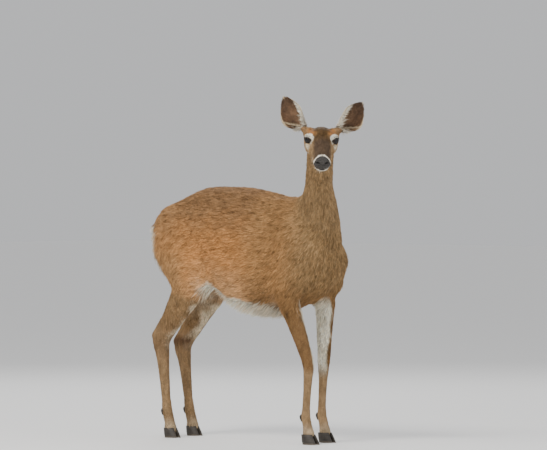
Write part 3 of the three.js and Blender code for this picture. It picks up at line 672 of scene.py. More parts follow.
for side, node in ((1, "ear_left"), (-1, "ear_right")):
    mine = np.zeros(len(points), bool)
    mine[headCount:] = ownNode[headCount:] == node
    root = fromFace((-62, side * 59, -2))
    far = points[mine][np.argmax(np.linalg.norm(points[mine] - root, axis=1))]
    earAxes[side] = (root, unit(far - root), np.linalg.norm(far - root), mine)
    flow[mine] = unit(far - root)
for _ in range(3):
    flow = unit(eased(unit(laid(flow, normals)), edges, 8))
flow = unit(laid(flow, normals))

# streaks run with the hair, blotches don't
edgeWay = unit(points[edges[:, 1]] - points[edges[:, 0]])
grip = np.abs(np.sum(edgeWay * (flow[edges[:, 0]] + flow[edges[:, 1]]) / 2, axis=1)) ** 6 + 0.015


def localSpread(values):
    level = eased(values, edges, 60)[:, 0]
    size = np.sqrt(eased((values - level) ** 2, edges, 60)[:, 0])
    return (values - level) / np.maximum(size, 1e-9)


streak = localSpread(eased(chance.standard_normal(len(points)), edges, 7, 0.7, grip)[:, 0])
clump = localSpread(eased(chance.standard_normal(len(points)), edges, 3, 0.7, grip)[:, 0])
blotch = localSpread(eased(chance.standard_normal(len(points)), edges, 40, 0.6)[:, 0])
print("lie of the coat worked out")


# the markings, the same for skin and hair
def ink(red, green, blue):
    level = np.array([red, green, blue]) / 255
    return np.where(level <= 0.04045, level / 12.92, ((level + 0.055) / 1.055) ** 2.4)


tones = {
    "back": ink(132, 100, 68),
    "side": ink(182, 127, 75),
    "lowSide": ink(202, 158, 112),
    "belly": ink(232, 224, 202),
    "rump": ink(176, 132, 88),
    "thigh": ink(168, 130, 88),
    "shoulder": ink(152, 114, 73),
    "chest": ink(142, 114, 78),
    "neck": ink(142, 114, 79),
    "nape": ink(112, 88, 62),
    "foreLeg": ink(120, 89, 55),
    "farLeg": ink(166, 128, 88),
    "leg": ink(140, 112, 78),
    "legPale": ink(216, 198, 168),
    "shin": ink(152, 124, 90),
    "hock": ink(132, 104, 74),
    "forehead": ink(85, 64, 38),
    "bridge": ink(82, 66, 52),
    "crown": ink(156, 107, 62),
    "cheek": ink(150, 122, 88),
    "jowl": ink(160, 124, 80),
    "underEye": ink(214, 198, 170),
    "white": ink(238, 228, 208),
    "earBack": ink(122, 98, 72),
    "earRoot": ink(140, 110, 78),
    "earInside": ink(96, 72, 53),
    "earMiddle": ink(122, 94, 71),
    "earShade": ink(60, 47, 38),
    # painted shade for the hollow of the ear and for its inside towards the tip
    "earRim": ink(214, 194, 160),
    "black": ink(26, 23, 21),
    # painted shade inside the nostrils
    "nostrilShade": ink(26, 23, 21) * 0.25,
    "tailTop": ink(140, 100, 66),
    "gland": ink(92, 66, 44),
}

foldAt = float(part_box("gaskin_right")[1].x)  # where the flank folds into the thigh
# the line of the back and of the belly, read off slices of the trunk
slices = 25
trunkRows = points[within("trunk")]
bins = np.linspace(trunkLow[0], trunkHigh[0], slices + 1)
slot = np.clip(np.digitize(trunkRows[:, 0], bins) - 1, 0, slices - 1)
filled = [i for i in range(slices) if (slot == i).any()]
topLine = np.array([trunkRows[slot == i, 2].max() for i in filled])
lowLine = np.array([trunkRows[slot == i, 2].min() for i in filled])
binMiddle = ((bins[1:] + bins[:-1]) / 2)[filled]
hockHeight = {side: float(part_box(f"hind_cannon_{side}")[1].z) for side in ("left", "right")}


# each mark in turn over the tones so far; a mask is how far a place takes on the mark's colour
def painted(tone, marks):
    for name, mask in marks:
        tone = tone + (tones[name] - tone) * np.clip(mask, 0, 1)[:, None]
    return tone


# p: places, n: outward directions, weights: share of each region, rough: a wobble for edges;
# heights are in metres, long is 0 at the seat and 1 at the chest, high is 1 along the back
def coatTone(p, n, weights, rough):
    w = {r: weights[:, i] for i, r in enumerate(regions)}
    side, aside, up = np.sign(p[:, 1] - middle), np.abs(p[:, 1] - middle), p[:, 2]
    inward = np.clip(-n[:, 1] * side, 0, 1)
    top, low = (np.interp(p[:, 0], binMiddle, line) for line in (topLine, lowLine))
    long = (p[:, 0] - trunkLow[0]) / trunkLong
    high = (up - 0.5) / (top - 0.5) + 0.03 * rough
    flank = ramp(0.26, 0.4, long) * (1 - ramp(0.66, 0.8, long))
    # white below, from the groin to behind the elbows, ragged at its edge
    onThigh = ramp(0.42, 0.36, long) * ramp(0.045, 0.07, aside)
    under = ramp(0.05, 0.014, up - low + 0.014 * rough) * ramp(0.15, -0.3, n[:, 2])
    under *= ramp(0.2, 0.3, long) * (1 - ramp(0.68, 0.78, long)) * (1 - onThigh)
    groin = ramp(0.4, 0.9, inward + 0.1 * rough) * ramp(0.6, 0.5, up) * (1 - ramp(0.4, 0.5, long))
    fold = hump(p[:, 0] - foldAt - 0.35 * (up - 0.56), 0.026) * ramp(0.4, 0.8, n[:, 0] + 0.2 * rough)
    # the white edge of the buttocks, each side of the tail
    seat = ramp(-0.35, -0.75, n[:, 0]) * ramp(0.085, 0.045, aside - 0.015 * rough)
    seat *= ramp(0.74, 0.66, up) * (1 - ramp(0.1, 0.16, long))
    # legs: dark in front and at the hocks, pale on the sides that face each other
    leg = w["upperLeg"] + w["lowerLeg"] + w["foot"]
    fore = p[:, 0] > 0
    nearShoulder = ramp(0.6, 0.46, up) * fore * (w["trunk"] + w["upperLeg"])
    facing = inward + 0.45 * np.clip(n[:, 0], 0, 1) + 0.1 * rough
    paleFore = ramp(0.5, 0.85, facing) * fore * ramp(0.22, 0.3, up) * ramp(0.54, 0.48, up)
    facing = 0.3 * inward + 0.9 * n[:, 0] + 0.12 * rough
    paleHind = ramp(0.4, 0.8, facing) * ~fore * ramp(0.3, 0.4, up)
    # the tail: brown above, white beneath and along its edges
    white = np.clip(ramp(-0.1, 0.4, n[:, 0]) + ramp(0.4, 0.75, np.abs(n[:, 1]) + 0.06 * rough), 0, 1)
    marks = [
        ("back", ramp(0.42, 0.9, high) * 0.95),
        ("rump", (1 - ramp(0.1, 0.3, long)) * 0.6),
        ("thigh", (1 - ramp(0.26, 0.36, long)) * ramp(0.76, 0.6, up) * 0.8),
        ("lowSide", 0.85 * ramp(0.46, -0.06, high) * flank),
        ("shoulder", ramp(0.58, 0.72, long) * 0.85),
        ("chest", ramp(0.78, 0.94, long) * 0.9),
        ("belly", under),
        ("belly", groin * w["trunk"] * 0.6),
        ("legPale", fold * w["trunk"] * ramp(0.66, 0.54, up) * 0.4),
        ("belly", seat * w["trunk"]),
        ("neck", w["neck"]),
        ("nape", ramp(0.1, 0.7, -n @ downFace) * w["neck"] * 0.7),
        ("leg", leg * 0.9),
        ("foreLeg", nearShoulder * 0.85),
        ("farLeg", nearShoulder * ramp(0.2, 0.8, -n[:, 0] + 0.2 * rough) * 0.6),
        ("shin", (w["lowerLeg"] + w["foot"]) * 0.8),
        ("hock", hump(up - 0.34, 0.07) * ~fore * leg * 0.7),
        ("belly", paleFore * 0.92),
        ("legPale", paleHind * leg * 0.9),
        ("legPale", ramp(0.5, 1, inward) * ~fore * leg * ramp(0.4, 0.5, up) * 0.3),
        ("legPale", 0.35 * w["foot"] * ramp(0.085, 0.045, up)),
    ]
    for name, bottom in hockHeight.items():
        mine = (side > 0) == (name == "left")
        spot = hump(up - (bottom - 0.05), 0.022) * np.clip(inward * 2 - 0.2, 0, 1) * ~fore * mine
        marks.append(("gland", spot * 0.9))
    marks += [("tailTop", w["tail"]), ("white", w["tail"] * white)]
    tone = painted(np.tile(tones["side"], (len(p), 1)), marks)
    return faceTone(tone, p, n, w, rough)


# the face in its own axes, in mm; lofty is the height above the eyes
def faceTone(tone, p, n, w, rough):
    q = toFace(p)
    ahead, aside, up = q[:, 0], np.abs(q[:, 1]), q[:, 2]
    lofty = (p[:, 2] - betweenEyes[2]) / mm
    skull = np.clip(w["head"] + w["nose"] + w["ear"], 0, 1)
    wob = 3 * rough
    # rust above each eye, a dark strip from the crown down the middle of the face
    rust = hump(aside - 33, 15) * ramp(6, 20, lofty + wob) * ramp(-62, -44, ahead) * ramp(34, 12, ahead)
    narrow = 25 + 6 * ramp(20, 40, lofty)
    strip = ramp(9, -9, aside - narrow + wob) * np.clip(ramp(-6, 8, up) + ramp(10, 26, lofty), 0, 1)
    bridge = ramp(20, 60, ahead) * ramp(-22, -4, up + 0.5 * wob) * ramp(34, 22, aside)
    marks = [
        ("jowl", ramp(28, 44, aside + wob) * ramp(-8, -26, up) * 0.8),
        ("nape", ramp(-64, -84, ahead) * ramp(-30, 0, up)),
        ("crown", rust * 1.5),
        ("earRoot", ramp(44, 56, aside) * ramp(10, 24, lofty)),
        ("forehead", strip),
        ("bridge", bridge * 0.92),
    ]
    # black lids; a pale band over each eye and down its inner side; a paler patch below
    for s in (1, -1):
        _, front, upper = eyeAxes(s)
        off = q - eyeMiddle(s)
        near = np.linalg.norm(off, axis=1)
        x, y = off @ front, off @ upper
        ring = ramp(1.15, 0.88, ((x - 6) / 24) ** 2 + ((y - 1.5) / 18.5) ** 2 + 0.06 * rough)
        lower = hump(x - 3, 19) * hump(y + 25, 12) * (near < 52)
        lid = np.abs(x / 16.5) ** 1.7 + np.abs(y / np.where(y > 0, 11.2, 12.2)) ** 1.7
        duct = hump(y + 3, 2.2) * ramp(13, 16, x) * ramp(27, 20, x) * (near < 45)
        marks += [
            ("white", ring * ramp(-11, -3, y + 0.4 * x) * (near < 45)),
            ("underEye", np.clip(lower * 1.7, 0, 1) * ramp(-15, -19, y + 2 * rough)),
            ("black", ramp(1.16, 0.92, lid + 0.04 * rough) * (near < 40)),
            ("forehead", duct * 0.9),
        ]
    # chin, throat and the band behind the nose are white, with a dark spot on each lip
    level, padEdge = mouthLevel(ahead), padDepth(q)
    throat = ramp(-36, -52, up + 0.25 * (aside - 10) + wob) * ramp(-60, -20, ahead)
    band = ramp(-11, -8, padEdge + 0.5 * wob) * (1 - 0.6 * ramp(3.5, 1, aside) * ramp(-20, 0, up))
    lipSpot = hump(ahead - (noseTip - 34), 9) * hump(up - level + 3, 5) * ramp(8, 14, aside)
    marks += [
        ("white", ramp(3, -3, up - level) * ramp(40, 62, ahead)),
        ("white", throat * 0.85),
        ("white", band * (0.55 + 0.45 * ramp(-4, 8, up))),
        ("black", lipSpot * 0.95),
        ("black", hump(up - level, 1.5) * ramp(90, 100, ahead) * 0.9),
        ("black", ramp(*padSoft, padEdge)),
    ]
    face = painted(np.tile(tones["cheek"], (len(p), 1)), marks)
    tone = tone + (face - tone) * skull[:, None]
    # ears: grey-brown behind, dark within, with painted shade in the hollow at the root and inside
    # towards the tip, pale rims, a white inner margin and a pale fold
    for s in (1, -1):
        out, across = earPlaces(p, s)
        mine = w["ear"] * ((q[:, 1] > 0) == (s > 0))
        opening = ramp(0.0, 0.35, n @ openWay(s))
        inside = mine * opening
        pocket = hump(across - 0.42, 0.26) * hump(out - 0.22, 0.12)
        fold = hump(out - 0.13 - 0.27 * across, 0.022) * ramp(-0.1, 0.15, across)
        margin = ramp(-0.5, -0.72, across + 0.3 * out + 0.08 * rough) * ramp(0.78, 0.42, out)
        rim = np.clip(ramp(0.86, 0.97, np.abs(across)) + ramp(0.95, 0.99, out), 0, 1)
        tone = painted(tone, [
            ("earBack", mine),
            ("earInside", inside),
            ("earMiddle", inside * hump(across + 0.1, 0.3) * hump(out - 0.45, 0.3) * 0.8),
            # painted shade inside the ear towards its tip and in the hollow at its root
            ("earShade", inside * ramp(0.5, 0.9, out) * 0.5),
            ("earShade", inside * pocket),
            ("earRim", inside * np.clip(fold * 1.3, 0, 1) * 0.9),
            ("white", inside * margin * 0.85),
            ("earRim", mine * rim * 0.9),
            ("white", mine * ramp(0.15, 0.04, out + 0.02 * rough) * (0.35 + 0.6 * opening)),
        ])
    return tone


padSoft = (-1.2, 1.2)  # mm over which hair gives way to the bare pad


# how far forward of the edge of the bare pad of the nose, which is narrower above
def padDepth(q):
    aside = np.abs(q[:, 1])
    shoulder = np.maximum(aside - 9, 0) * ramp(-10, 8, q[:, 2])
    return (q[:, 0] - (noseTip - 20)) + 0.42 * (q[:, 2] + 1) - 0.06 * (aside - 14) - 0.5 * shoulder


# where a point lies on an ear: its share of the length, and -1 to 1 from inner to outer edge
def earPlaces(p, side):
    root, axis, size, _ = earAxes[side]
    out = np.sum((p - root) * axis, axis=1) / size
    aside = np.sum((p - root) * earAcross[side], axis=1)
    low, high = (np.interp(out, earBins, line) for line in earEdges[side])
    return out, np.clip(2 * (aside - low) / np.maximum(high - low, 1e-4) - 1, -1, 1)


# the way an ear opens
def openWay(side):
    level = unit(np.array([faceLeft[0], faceLeft[1], 0]))
    facing = unit(np.array([faceAhead[0], faceAhead[1], 0]))
    return unit(facing + 0.3 * side * level)


earBins = np.linspace(0.02, 0.98, 25)
earAcross, earEdges = {}, {}
for side in (1, -1):
    root, axis, size, mine = earAxes[side]
    aside = unit(np.cross(axis, openWay(side)))
    earAcross[side] = aside * np.sign(aside @ faceLeft) * side
    out = np.sum((points[mine] - root) * axis, axis=1) / size
    aside = np.sum((points[mine] - root) * earAcross[side], axis=1)
    near = [np.abs(out - place) < 0.04 for place in earBins]
    earEdges[side] = [np.array([pick(aside[n]) for n in near]) for pick in (np.min, np.max)]

q = toFace(points)
padMask = ramp(*padSoft, padDepth(q)) * (q[:, 0] > 100) * (np.arange(len(points)) < headCount)
skinTone = coatTone(points, normals, share, blotch)
skinTone = skinTone * (1 + 0.05 * blotch + 0.05 * streak)[:, None]
# the nostrils darkened: painted shade inside their hollows
nostrils = nostrilMask(q, 0.8) * padMask
skinTone = painted(skinTone, [("nostrilShade", nostrils)])


def addColour(piece, name, values):
    layer = piece.data.color_attributes.new(name, "FLOAT_COLOR", "POINT")
    rows = np.ones((len(values), 4), np.float32)
    rows[:, :3] = values
    layer.data.foreach_set("color", rows.ravel())


def addNumber(piece, name, values):
    layer = piece.data.attributes.new(name, "FLOAT", "POINT")
    layer.data.foreach_set("value", values.astype(np.float32))


addColour(skin, "tone", skinTone)
addNumber(skin, "wet", padMask)
addNumber(skin, "nostrilShade", nostrils)
print("markings painted")

# where tufts can stand: the skin's triangles, their area and their places on its unwrap
skin.data.calc_loop_triangles()
triangles = readAll(skin.data.loop_triangles, "vertices", 3, np.int32)
corners = readAll(skin.data.loop_triangles, "loops", 3, np.int32)
skinMap = readAll(skin.data.uv_layers["OFBake"].data, "uv", 2, np.float32)
a, b, c = (points[triangles[:, k]] for k in range(3))
triangleArea = np.linalg.norm(np.cross(b - a, c - a), axis=1) / 2
kinds = ("length", "width", "lift", "crowd")
traits = share @ np.array([[hair[r][kind] for kind in kinds] for r in regions])


# roots spread over the skin by area and by weight, one value for each point of the skin
def rooted(weight, count):
    load = triangleArea * np.clip(weight[triangles].mean(axis=1), 0, None)
    sums = np.cumsum(load)
    pick = (np.arange(count) + chance.random(count)) / count * sums[-1]
    tri = np.searchsorted(sums, pick)
    tri = np.clip(tri, 0, len(triangles) - 1)
    u, v = chance.random(count), chance.random(count)
    flip = u + v > 1
    u, v = np.where(flip, 1 - u, u), np.where(flip, 1 - v, v)
    bary = np.column_stack([1 - u - v, u, v])

    def at(values):
        picked = values[triangles[tri]]
        if picked.ndim == 2:
            return np.sum(picked * bary, axis=1)
        return np.sum(picked * bary[:, :, None], axis=1)

    place = np.sum(skinMap[corners[tri]] * bary[:, :, None], axis=1)
    return at, place


# one tuft is a thin three-sided blade that rises from the skin and curls back to a point
tuftPlan = {
    "sunk": 0.3,  # shares of its own width
    "half": 0.5,
    "ridge": 0.8,  # share of the half width
    "bend": 0.42,  # shares of its own length
    "narrow": 0.35,
    # painted shade and light along each tuft: its tone darkened at the root and brightened towards the
    # tip
    "paintedShadeAndLight": {"root": 0.5, "low": 0.82, "rise": 0.3, "tip": 1.1},
    "patch": (0.0014, 0.0015),  # half its place on the skin's own unwrap
}


# many tufts as one mesh
def tuftMesh(
    name, roots, normal, way, length, width, lift, tone, place, rings=1, droop=0.0, curl=0.35
):
    count = len(roots)
    across = unit(np.cross(normal, way))
    cosLift, sinLift = np.cos(lift)[:, None], np.sin(lift)[:, None]
    length, width = length[:, None], width[:, None]

    def spine(t):
        rise = sinLift * t * (1 - curl * t)
        line = roots + (way * t * cosLift + normal * rise) * length
        return line + np.array([0, 0, -1.0]) * droop * length * t * t

    # shade: the factors of the painted shade at the root and the painted light at the tip
    shade, (patchWide, patchHigh) = tuftPlan["paintedShadeAndLight"], tuftPlan["patch"]
    rows = [roots - normal * width * tuftPlan["sunk"]]
    paintedShadeAndLight = [tone * shade["root"]]
    lights = [normal]
    spots = [place + [0, -patchHigh]]
    for ring in range(rings):
        t = tuftPlan["bend"] if rings == 1 else (ring + 0.75) / (rings + 0.75)
        girth = tuftPlan["half"] * width * (1 - tuftPlan["narrow"] * ring / rings)
        at = spine(t)
        ridge = at + normal * girth * tuftPlan["ridge"]
        rows += [at - across * girth, at + across * girth, ridge]
        paintedShadeAndLight += [tone * (shade["low"] + shade["rise"] * t)] * 3
        lights += [unit(normal - 0.5 * across), unit(normal + 0.5 * across), normal]
        up = -patchHigh + 2 * patchHigh * t
        spots += [place + [-patchWide, up], place + [patchWide, up], place + [0, up]]
    rows.append(spine(1.0))
    paintedShadeAndLight.append(tone * shade["tip"])
    lights.append(unit(normal + 0.25 * way))
    spots.append(place + [0, patchHigh])
    size = len(rows)
    faces = []
    for i, j in ((1, 2), (2, 3), (3, 1)):
        faces.append((j, i, 0))
        for ring in range(rings - 1):
            k = 3 * ring
            faces += [(i + k, j + k, j + k + 3), (i + k, j + k + 3, i + k + 3)]
        last = 3 * (rings - 1)
        faces.append((i + last, j + last, size - 1))
    stack = np.stack(rows, axis=1).reshape(-1, 3)
    corner = (np.arange(count)[:, None, None] * size + np.array(faces)[None]).reshape(-1)
    mesh = bpy.data.meshes.new(name)
    mesh.vertices.add(len(stack))
    mesh.vertices.foreach_set("co", stack.astype(np.float32).ravel())
    total = len(corner) // 3
    mesh.loops.add(len(corner))
    mesh.loops.foreach_set("vertex_index", corner.astype(np.int32))
    mesh.polygons.add(total)
    mesh.polygons.foreach_set("loop_start", np.arange(total, dtype=np.int32) * 3)
    mesh.polygons.foreach_set("use_smooth", np.ones(total, bool))
    mesh.update(calc_edges=True)
    piece = bpy.data.objects.new(name, mesh)
    bpy.context.scene.collection.objects.link(piece)
    addColour(piece, "tone", np.stack(paintedShadeAndLight, axis=1).reshape(-1, 3))
    layer = mesh.uv_layers.new(name="OFBake")
    spots = np.stack(spots, axis=1).reshape(-1, 2)[corner]
    layer.data.foreach_set("uv", spots.astype(np.float32).ravel())
    mesh.normals_split_custom_set_from_vertices(np.stack(lights, axis=1).reshape(-1, 3))
    piece.data.materials.append(coatLook)
    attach(piece, "root")


skinTree = BVHTree.FromPolygons([Vector(p) for p in points], triangles.tolist())


def nearestPatch(places):
    found = [skinTree.find_nearest(Vector(p))[2] for p in places]
    return skinMap[corners[found]].mean(axis=1)


# locks of neighbouring tufts share a tone, in cells drawn out along the hair
locks = {
    "level": np.array([22, 4.2, 4.2]),  # mm, where the hair lies along the body
    "upright": np.array([4.2, 4.2, 18]),
    "ragged": 0.22,
    "contrast": 3.4,
    "scramble": np.array([12.9898, 78.233, 37.719]),  # any odd numbers: they shuffle the cells
    "stretch": 43758.5453,
}


def lockTones(places, lie):
    ragged = locks["ragged"] * chance.standard_normal(places.shape)
    cells = np.floor(places / (locks[lie] * mm) + ragged)
    scrambled = np.sin(cells @ locks["scramble"]) * locks["stretch"]
    return (scrambled - np.floor(scrambled) - 0.5) * locks["contrast"]


# the pieces of the coat, in the order they are grown: how many tufts, and how they differ from
# the hair of their region
coatPlan = {
    "coatForeRight": {"count": 30000},
    "coatForeLeft": {"count": 28000},
    "coatRearRight": {"count": 28500},
    "coatRearLeft": {"count": 27000},
    "coatNeck": {"count": 24000},
    "coatFaceRight": {"count": 17000},
    "coatFaceLeft": {"count": 17000},
    "coatEarBacks": {"count": 14000},
    "coatEarInsides": {"count": 5200, "longer": 1.1, "wider": 0.8, "lifted": 4},
    "coatEarFringe": {"count": 1300, "longer": 2.1, "wider": 1.1, "lifted": 14},
    "coatLegs": {"count": 19000},
    "coatHindLegs": {"count": 23000},
    "coatTail": {"count": 3200, "lifted": -3, "rings": 2},
    "coatFringe": {"count": 4200, "longer": 1.7, "wider": 1.1, "lifted": 14, "droop": 0.32},
    "coatSeat": {"count": 2400, "longer": 1.35, "lifted": 9, "droop": 0.2},
    "coatCoronets": {"count": 1500, "longer": 1.5, "wider": 1.2, "lifted": 4, "droop": 0.1},
}
# how tufts differ from their neighbours: degrees for swing and lift, shares for the rest
vary = {
    "swing": {"clump": 7, "each": 5},
    "lift": {"clump": 3.5, "each": 2.5, "range": (3, 70)},
    "tone": {"streak": 0.07, "blotch": 0.05, "lock": 0.2, "each": 0.2, "range": (0.4, 1.9)},
    "warmth": [0.03, 0.0, -0.04],
    "length": 0.18,
    "width": 0.2,
    "range": (0.5, 1.6),
}


def growCoat(name, mask, toneOf=None, wayOf=None):
    plan = {"longer": 1.0, "wider": 1.0, "lifted": 0.0, "rings": 1, "droop": 0.0, **coatPlan[name]}
    count = plan["count"]
    at, place = rooted(mask * traits[:, 3], count)
    roots, normal = at(points), unit(at(normals))
    length, width, lift, _ = at(traits).T
    streaky, clumpy, blotchy = at(streak), at(clump), at(blotch)
    way = at(flow if wayOf is None else wayOf)
    turned, rise, shade = vary["swing"], vary["lift"], vary["tone"]
    swing = np.radians(turned["clump"] * clumpy + turned["each"] * chance.standard_normal(count))
    way = unit(laid(way, normal))
    way = way * np.cos(swing)[:, None] + np.cross(normal, way) * np.sin(swing)[:, None]
    tone = coatTone(roots, normal, at(share), blotchy + 0.5 * chance.standard_normal(count))
    if toneOf is not None:
        tone = toneOf(tone)
    shared = lockTones(roots, "level" if name.startswith(("coatFore", "coatRear")) else "upright")
    flick = 1.05 + shade["streak"] * streaky + shade["blotch"] * blotchy
    flick = flick + shade["lock"] * shared + shade["each"] * chance.standard_normal(count)
    warm = 1 + np.outer(chance.standard_normal(count), vary["warmth"])
    tone = np.clip(tone * np.clip(flick, *shade["range"])[:, None] * warm, 0.001, 0.95)
    stretch = np.clip(1 + vary["length"] * chance.standard_normal(count), *vary["range"])
    length = length * plan["longer"] * mm * stretch
    stretch = np.clip(1 + vary["width"] * chance.standard_normal(count), *vary["range"])
    width = width * plan["wider"] * mm * stretch
    lift = lift + plan["lifted"] + rise["clump"] * clumpy + rise["each"] * chance.standard_normal(count)
    lift = np.radians(np.clip(lift, *rise["range"]))
    tuftMesh(
        name, roots, normal, way, length, width, lift, tone, place, plan["rings"], plan["droop"]
    )
    print(name, count, "tufts")


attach(skin, "root")
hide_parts(*flesh)


# the eyes, with a slightly bulging clear front, and the wet rims of the lids; in mm
eyePlan = {"cornea": 1.5, "corneaReach": 0.62, "rimThick": 1.15, "rimRise": 0.9}


def makeEye(side, name):
    gaze, front, upper = eyeAxes(side)
    bpy.ops.object.select_all(action="DESELECT")
    bpy.ops.mesh.primitive_uv_sphere_add(segments=64, ring_count=40, radius=eyeRadius * mm)
    eye = bpy.context.object
    eye.name = name + "Ball"
    local = pointsOf(eye) / (eyeRadius * mm)
    away = np.arccos(np.clip(local[:, 2], -1, 1))
    bulge = eyePlan["cornea"] * (1 - ramp(0.0, eyePlan["corneaReach"], away)) ** 0.8
    place = local[:, :1] * front + local[:, 1:2] * upper + local[:, 2:] * gaze
    setPoints(eye, fromFace(eyeMiddle(side) + place * (eyeRadius + bulge)[:, None]))
    with editing(eye):
        bpy.ops.mesh.normals_make_consistent(inside=False)
    bpy.ops.object.shade_smooth()
    back = np.where(local[:, 2] > 0, 1, 9)  # the back of the ball takes no pupil
    addNumber(eye, "across", local[:, 0] * back)
    addNumber(eye, "upward", local[:, 1] * back)
    eye.data.materials.append(eyeLook)
    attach(eye, "root")
    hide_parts(name)


# the edge of the lids, all the way round
def rimPath(side, count, rise):
    gaze, front, upper = eyeAxes(side)
    turn = np.linspace(0, 2 * math.pi, count, endpoint=False)
    away = lidAngle(turn) * 0.985
    ways = np.cos(away)[:, None] * gaze + np.sin(away)[:, None] * (
        np.cos(turn)[:, None] * front + np.sin(turn)[:, None] * upper
    )
    return turn, eyeMiddle(side) + ways * (eyeRadius + rise), ways


def makeRim(side, name):
    _, path, _ = rimPath(side, 96, eyePlan["rimRise"])
    bpy.ops.object.select_all(action="DESELECT")
    bpy.ops.curve.primitive_nurbs_circle_add(radius=0.01)
    rim = bpy.context.object
    rim.name = name + "LidRim"
    rim.data.splines.clear()
    spline = rim.data.splines.new("POLY")
    spline.points.add(len(path) - 1)
    for point, place in zip(spline.points, fromFace(path)):
        point.co = (*place, 1)
    spline.use_cyclic_u = True
    rim.data.bevel_depth = eyePlan["rimThick"] * mm
    rim.data.bevel_resolution = 3
    rim.data.dimensions = "3D"
    onlySelect(rim)
    bpy.ops.object.convert(target="MESH")
    rim = bpy.context.object
    bpy.ops.object.shade_smooth()
    rim.data.materials.append(lidLook)
    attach(rim, "root")


for side, name in ((1, "eye_left"), (-1, "eye_right")):
    makeEye(side, name)
    makeRim(side, name)

# lashes along the upper lids, and whiskers about the muzzle
lashPlan = {"count": 34, "long": 8.5, "wide": 0.6, "lift": 34, "rise": 1.6}
roots, ways, outs = [], [], []
for side in (1, -1):
    gaze, front, upper = eyeAxes(side)
    turn, path, radial = rimPath(side, 240, lashPlan["rise"])
    onUpper = (np.sin(turn) > 0.12) & (np.cos(turn) < 0.8)
    pick = np.linspace(0, onUpper.sum() - 1, lashPlan["count"]).astype(int)
    roots.append(path[onUpper][pick])
    outs.append(radial[onUpper][pick])
    spread = 0.75 * upper + 0.5 * front * np.cos(turn[onUpper][pick])[:, None] + 0.35 * gaze
    ways.append(unit(laid(spread, outs[-1])))
roots, ways, outs = (np.concatenate(rows) for rows in (roots, ways, outs))
lashes = len(roots)
whiskerPlan = {"count": 26, "long": 25, "wide": 0.36, "lift": 36}
for side in (1, -1):
    perSide = whiskerPlan["count"] // 2
    ahead = noseTip - 12 - 34 * chance.random(perSide)
    down = -4 - 16 * chance.random(perSide)
    for a, d in zip(ahead, down):
        spot, outward, _, _ = skinTree.find_nearest(Vector(fromFace((a, side * 34, d))))
        roots = np.vstack([roots, toFace(np.array(spot))])
        outs = np.vstack([outs, faceAxes @ np.array(outward)])
        ways = np.vstack([ways, unit(np.array([-0.5, side * 0.35, -0.4]))])
isLash = np.arange(len(roots)) < lashes
size = len(roots)
ways = unit(laid(ways, outs))
jitter = np.clip(1 + 0.2 * chance.standard_normal(size), 0.5, 1.5)
tuftMesh(
    "coatLashes",
    fromFace(roots),
    outs @ faceAxes,
    ways @ faceAxes,
    np.where(isLash, lashPlan["long"], whiskerPlan["long"]) * jitter * mm,
    np.where(isLash, lashPlan["wide"], whiskerPlan["wide"]) * np.ones(size) * mm,
    np.radians(np.where(isLash, lashPlan["lift"], whiskerPlan["lift"]) * np.ones(size)),
    np.tile(tones["black"], (size, 1)),
    nearestPatch(fromFace(roots)),
    rings=2,
    curl=0.1,
)
print("eyes set")

# hooves have rounded edges; angles in degrees
hoofPlan = {"flat": 4, "sharp": 32, "crisp": 48, "bevel": 3.2, "steps": 4}
# a dewclaw is a small blunt nail, its root sunk into the hair behind the fetlock
dewclaw = {"wide": 7.2, "deep": 7.6, "high": 13.5, "sunk": 6}


def makeDewclaw(node):
    _, end, side, _ = node.split("_")
    place = centreOf(node)
    inwards = unit((centreOf(f"{end}_pastern_{side}") - place) * np.array([1, 1, 0]))
    bpy.ops.object.select_all(action="DESELECT")
    bpy.ops.mesh.primitive_uv_sphere_add(segments=20, ring_count=14, radius=mm)
    claw = bpy.context.object
    claw.name = node + "Horn"
    local = pointsOf(claw) / mm
    narrow = 1 - 0.55 * ramp(0.5, -1, local[:, 2])
    aside = np.cross([0, 0, 1], inwards)
    shape = local[:, :1] * aside * dewclaw["wide"] + local[:, 1:2] * inwards * dewclaw["deep"]
    shape = shape * narrow[:, None] + local[:, 2:] * np.array([0, 0, dewclaw["high"]])
    setPoints(claw, place + (shape + inwards * dewclaw["sunk"]) * mm)
    return claw


for node in sorted(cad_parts):
    if not node.startswith(("hoof", "dewclaw")):
        continue
    isHoof = node.startswith("hoof")
    claw = meshCopy(node + "Horn", [node]) if isHoof else makeDewclaw(node)
    with editing(claw):
        if isHoof:
            bpy.ops.mesh.dissolve_limited(angle_limit=math.radians(hoofPlan["flat"]))
        bpy.ops.mesh.normals_make_consistent(inside=False)
    if isHoof:
        applyModifier(
            claw, "BEVEL", width=hoofPlan["bevel"] * mm, segments=hoofPlan["steps"],
            limit_method="ANGLE", angle_limit=math.radians(hoofPlan["sharp"]), use_clamp_overlap=True,
        )
    onlySelect(claw)
    bpy.ops.object.shade_smooth_by_angle(angle=math.radians(hoofPlan["crisp"]))
    claw.data.materials.append(hornLook)
    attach(claw, "root")
    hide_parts(node)
print("hooves made")

# the coat, piece by piece: where each grows
front = ramp(0.44, 0.445, along)
right = (points[:, 1] < middle).astype(float)
notEar = (np.arange(len(points)) < headCount).astype(float)
trunkPart = part("trunk") * notEar
growCoat("coatForeRight", trunkPart * front * right)
growCoat("coatForeLeft", trunkPart * front * (1 - right))
growCoat("coatRearRight", trunkPart * (1 - front) * right)
growCoat("coatRearLeft", trunkPart * (1 - front) * (1 - right))
growCoat("coatNeck", part("neck") * notEar)

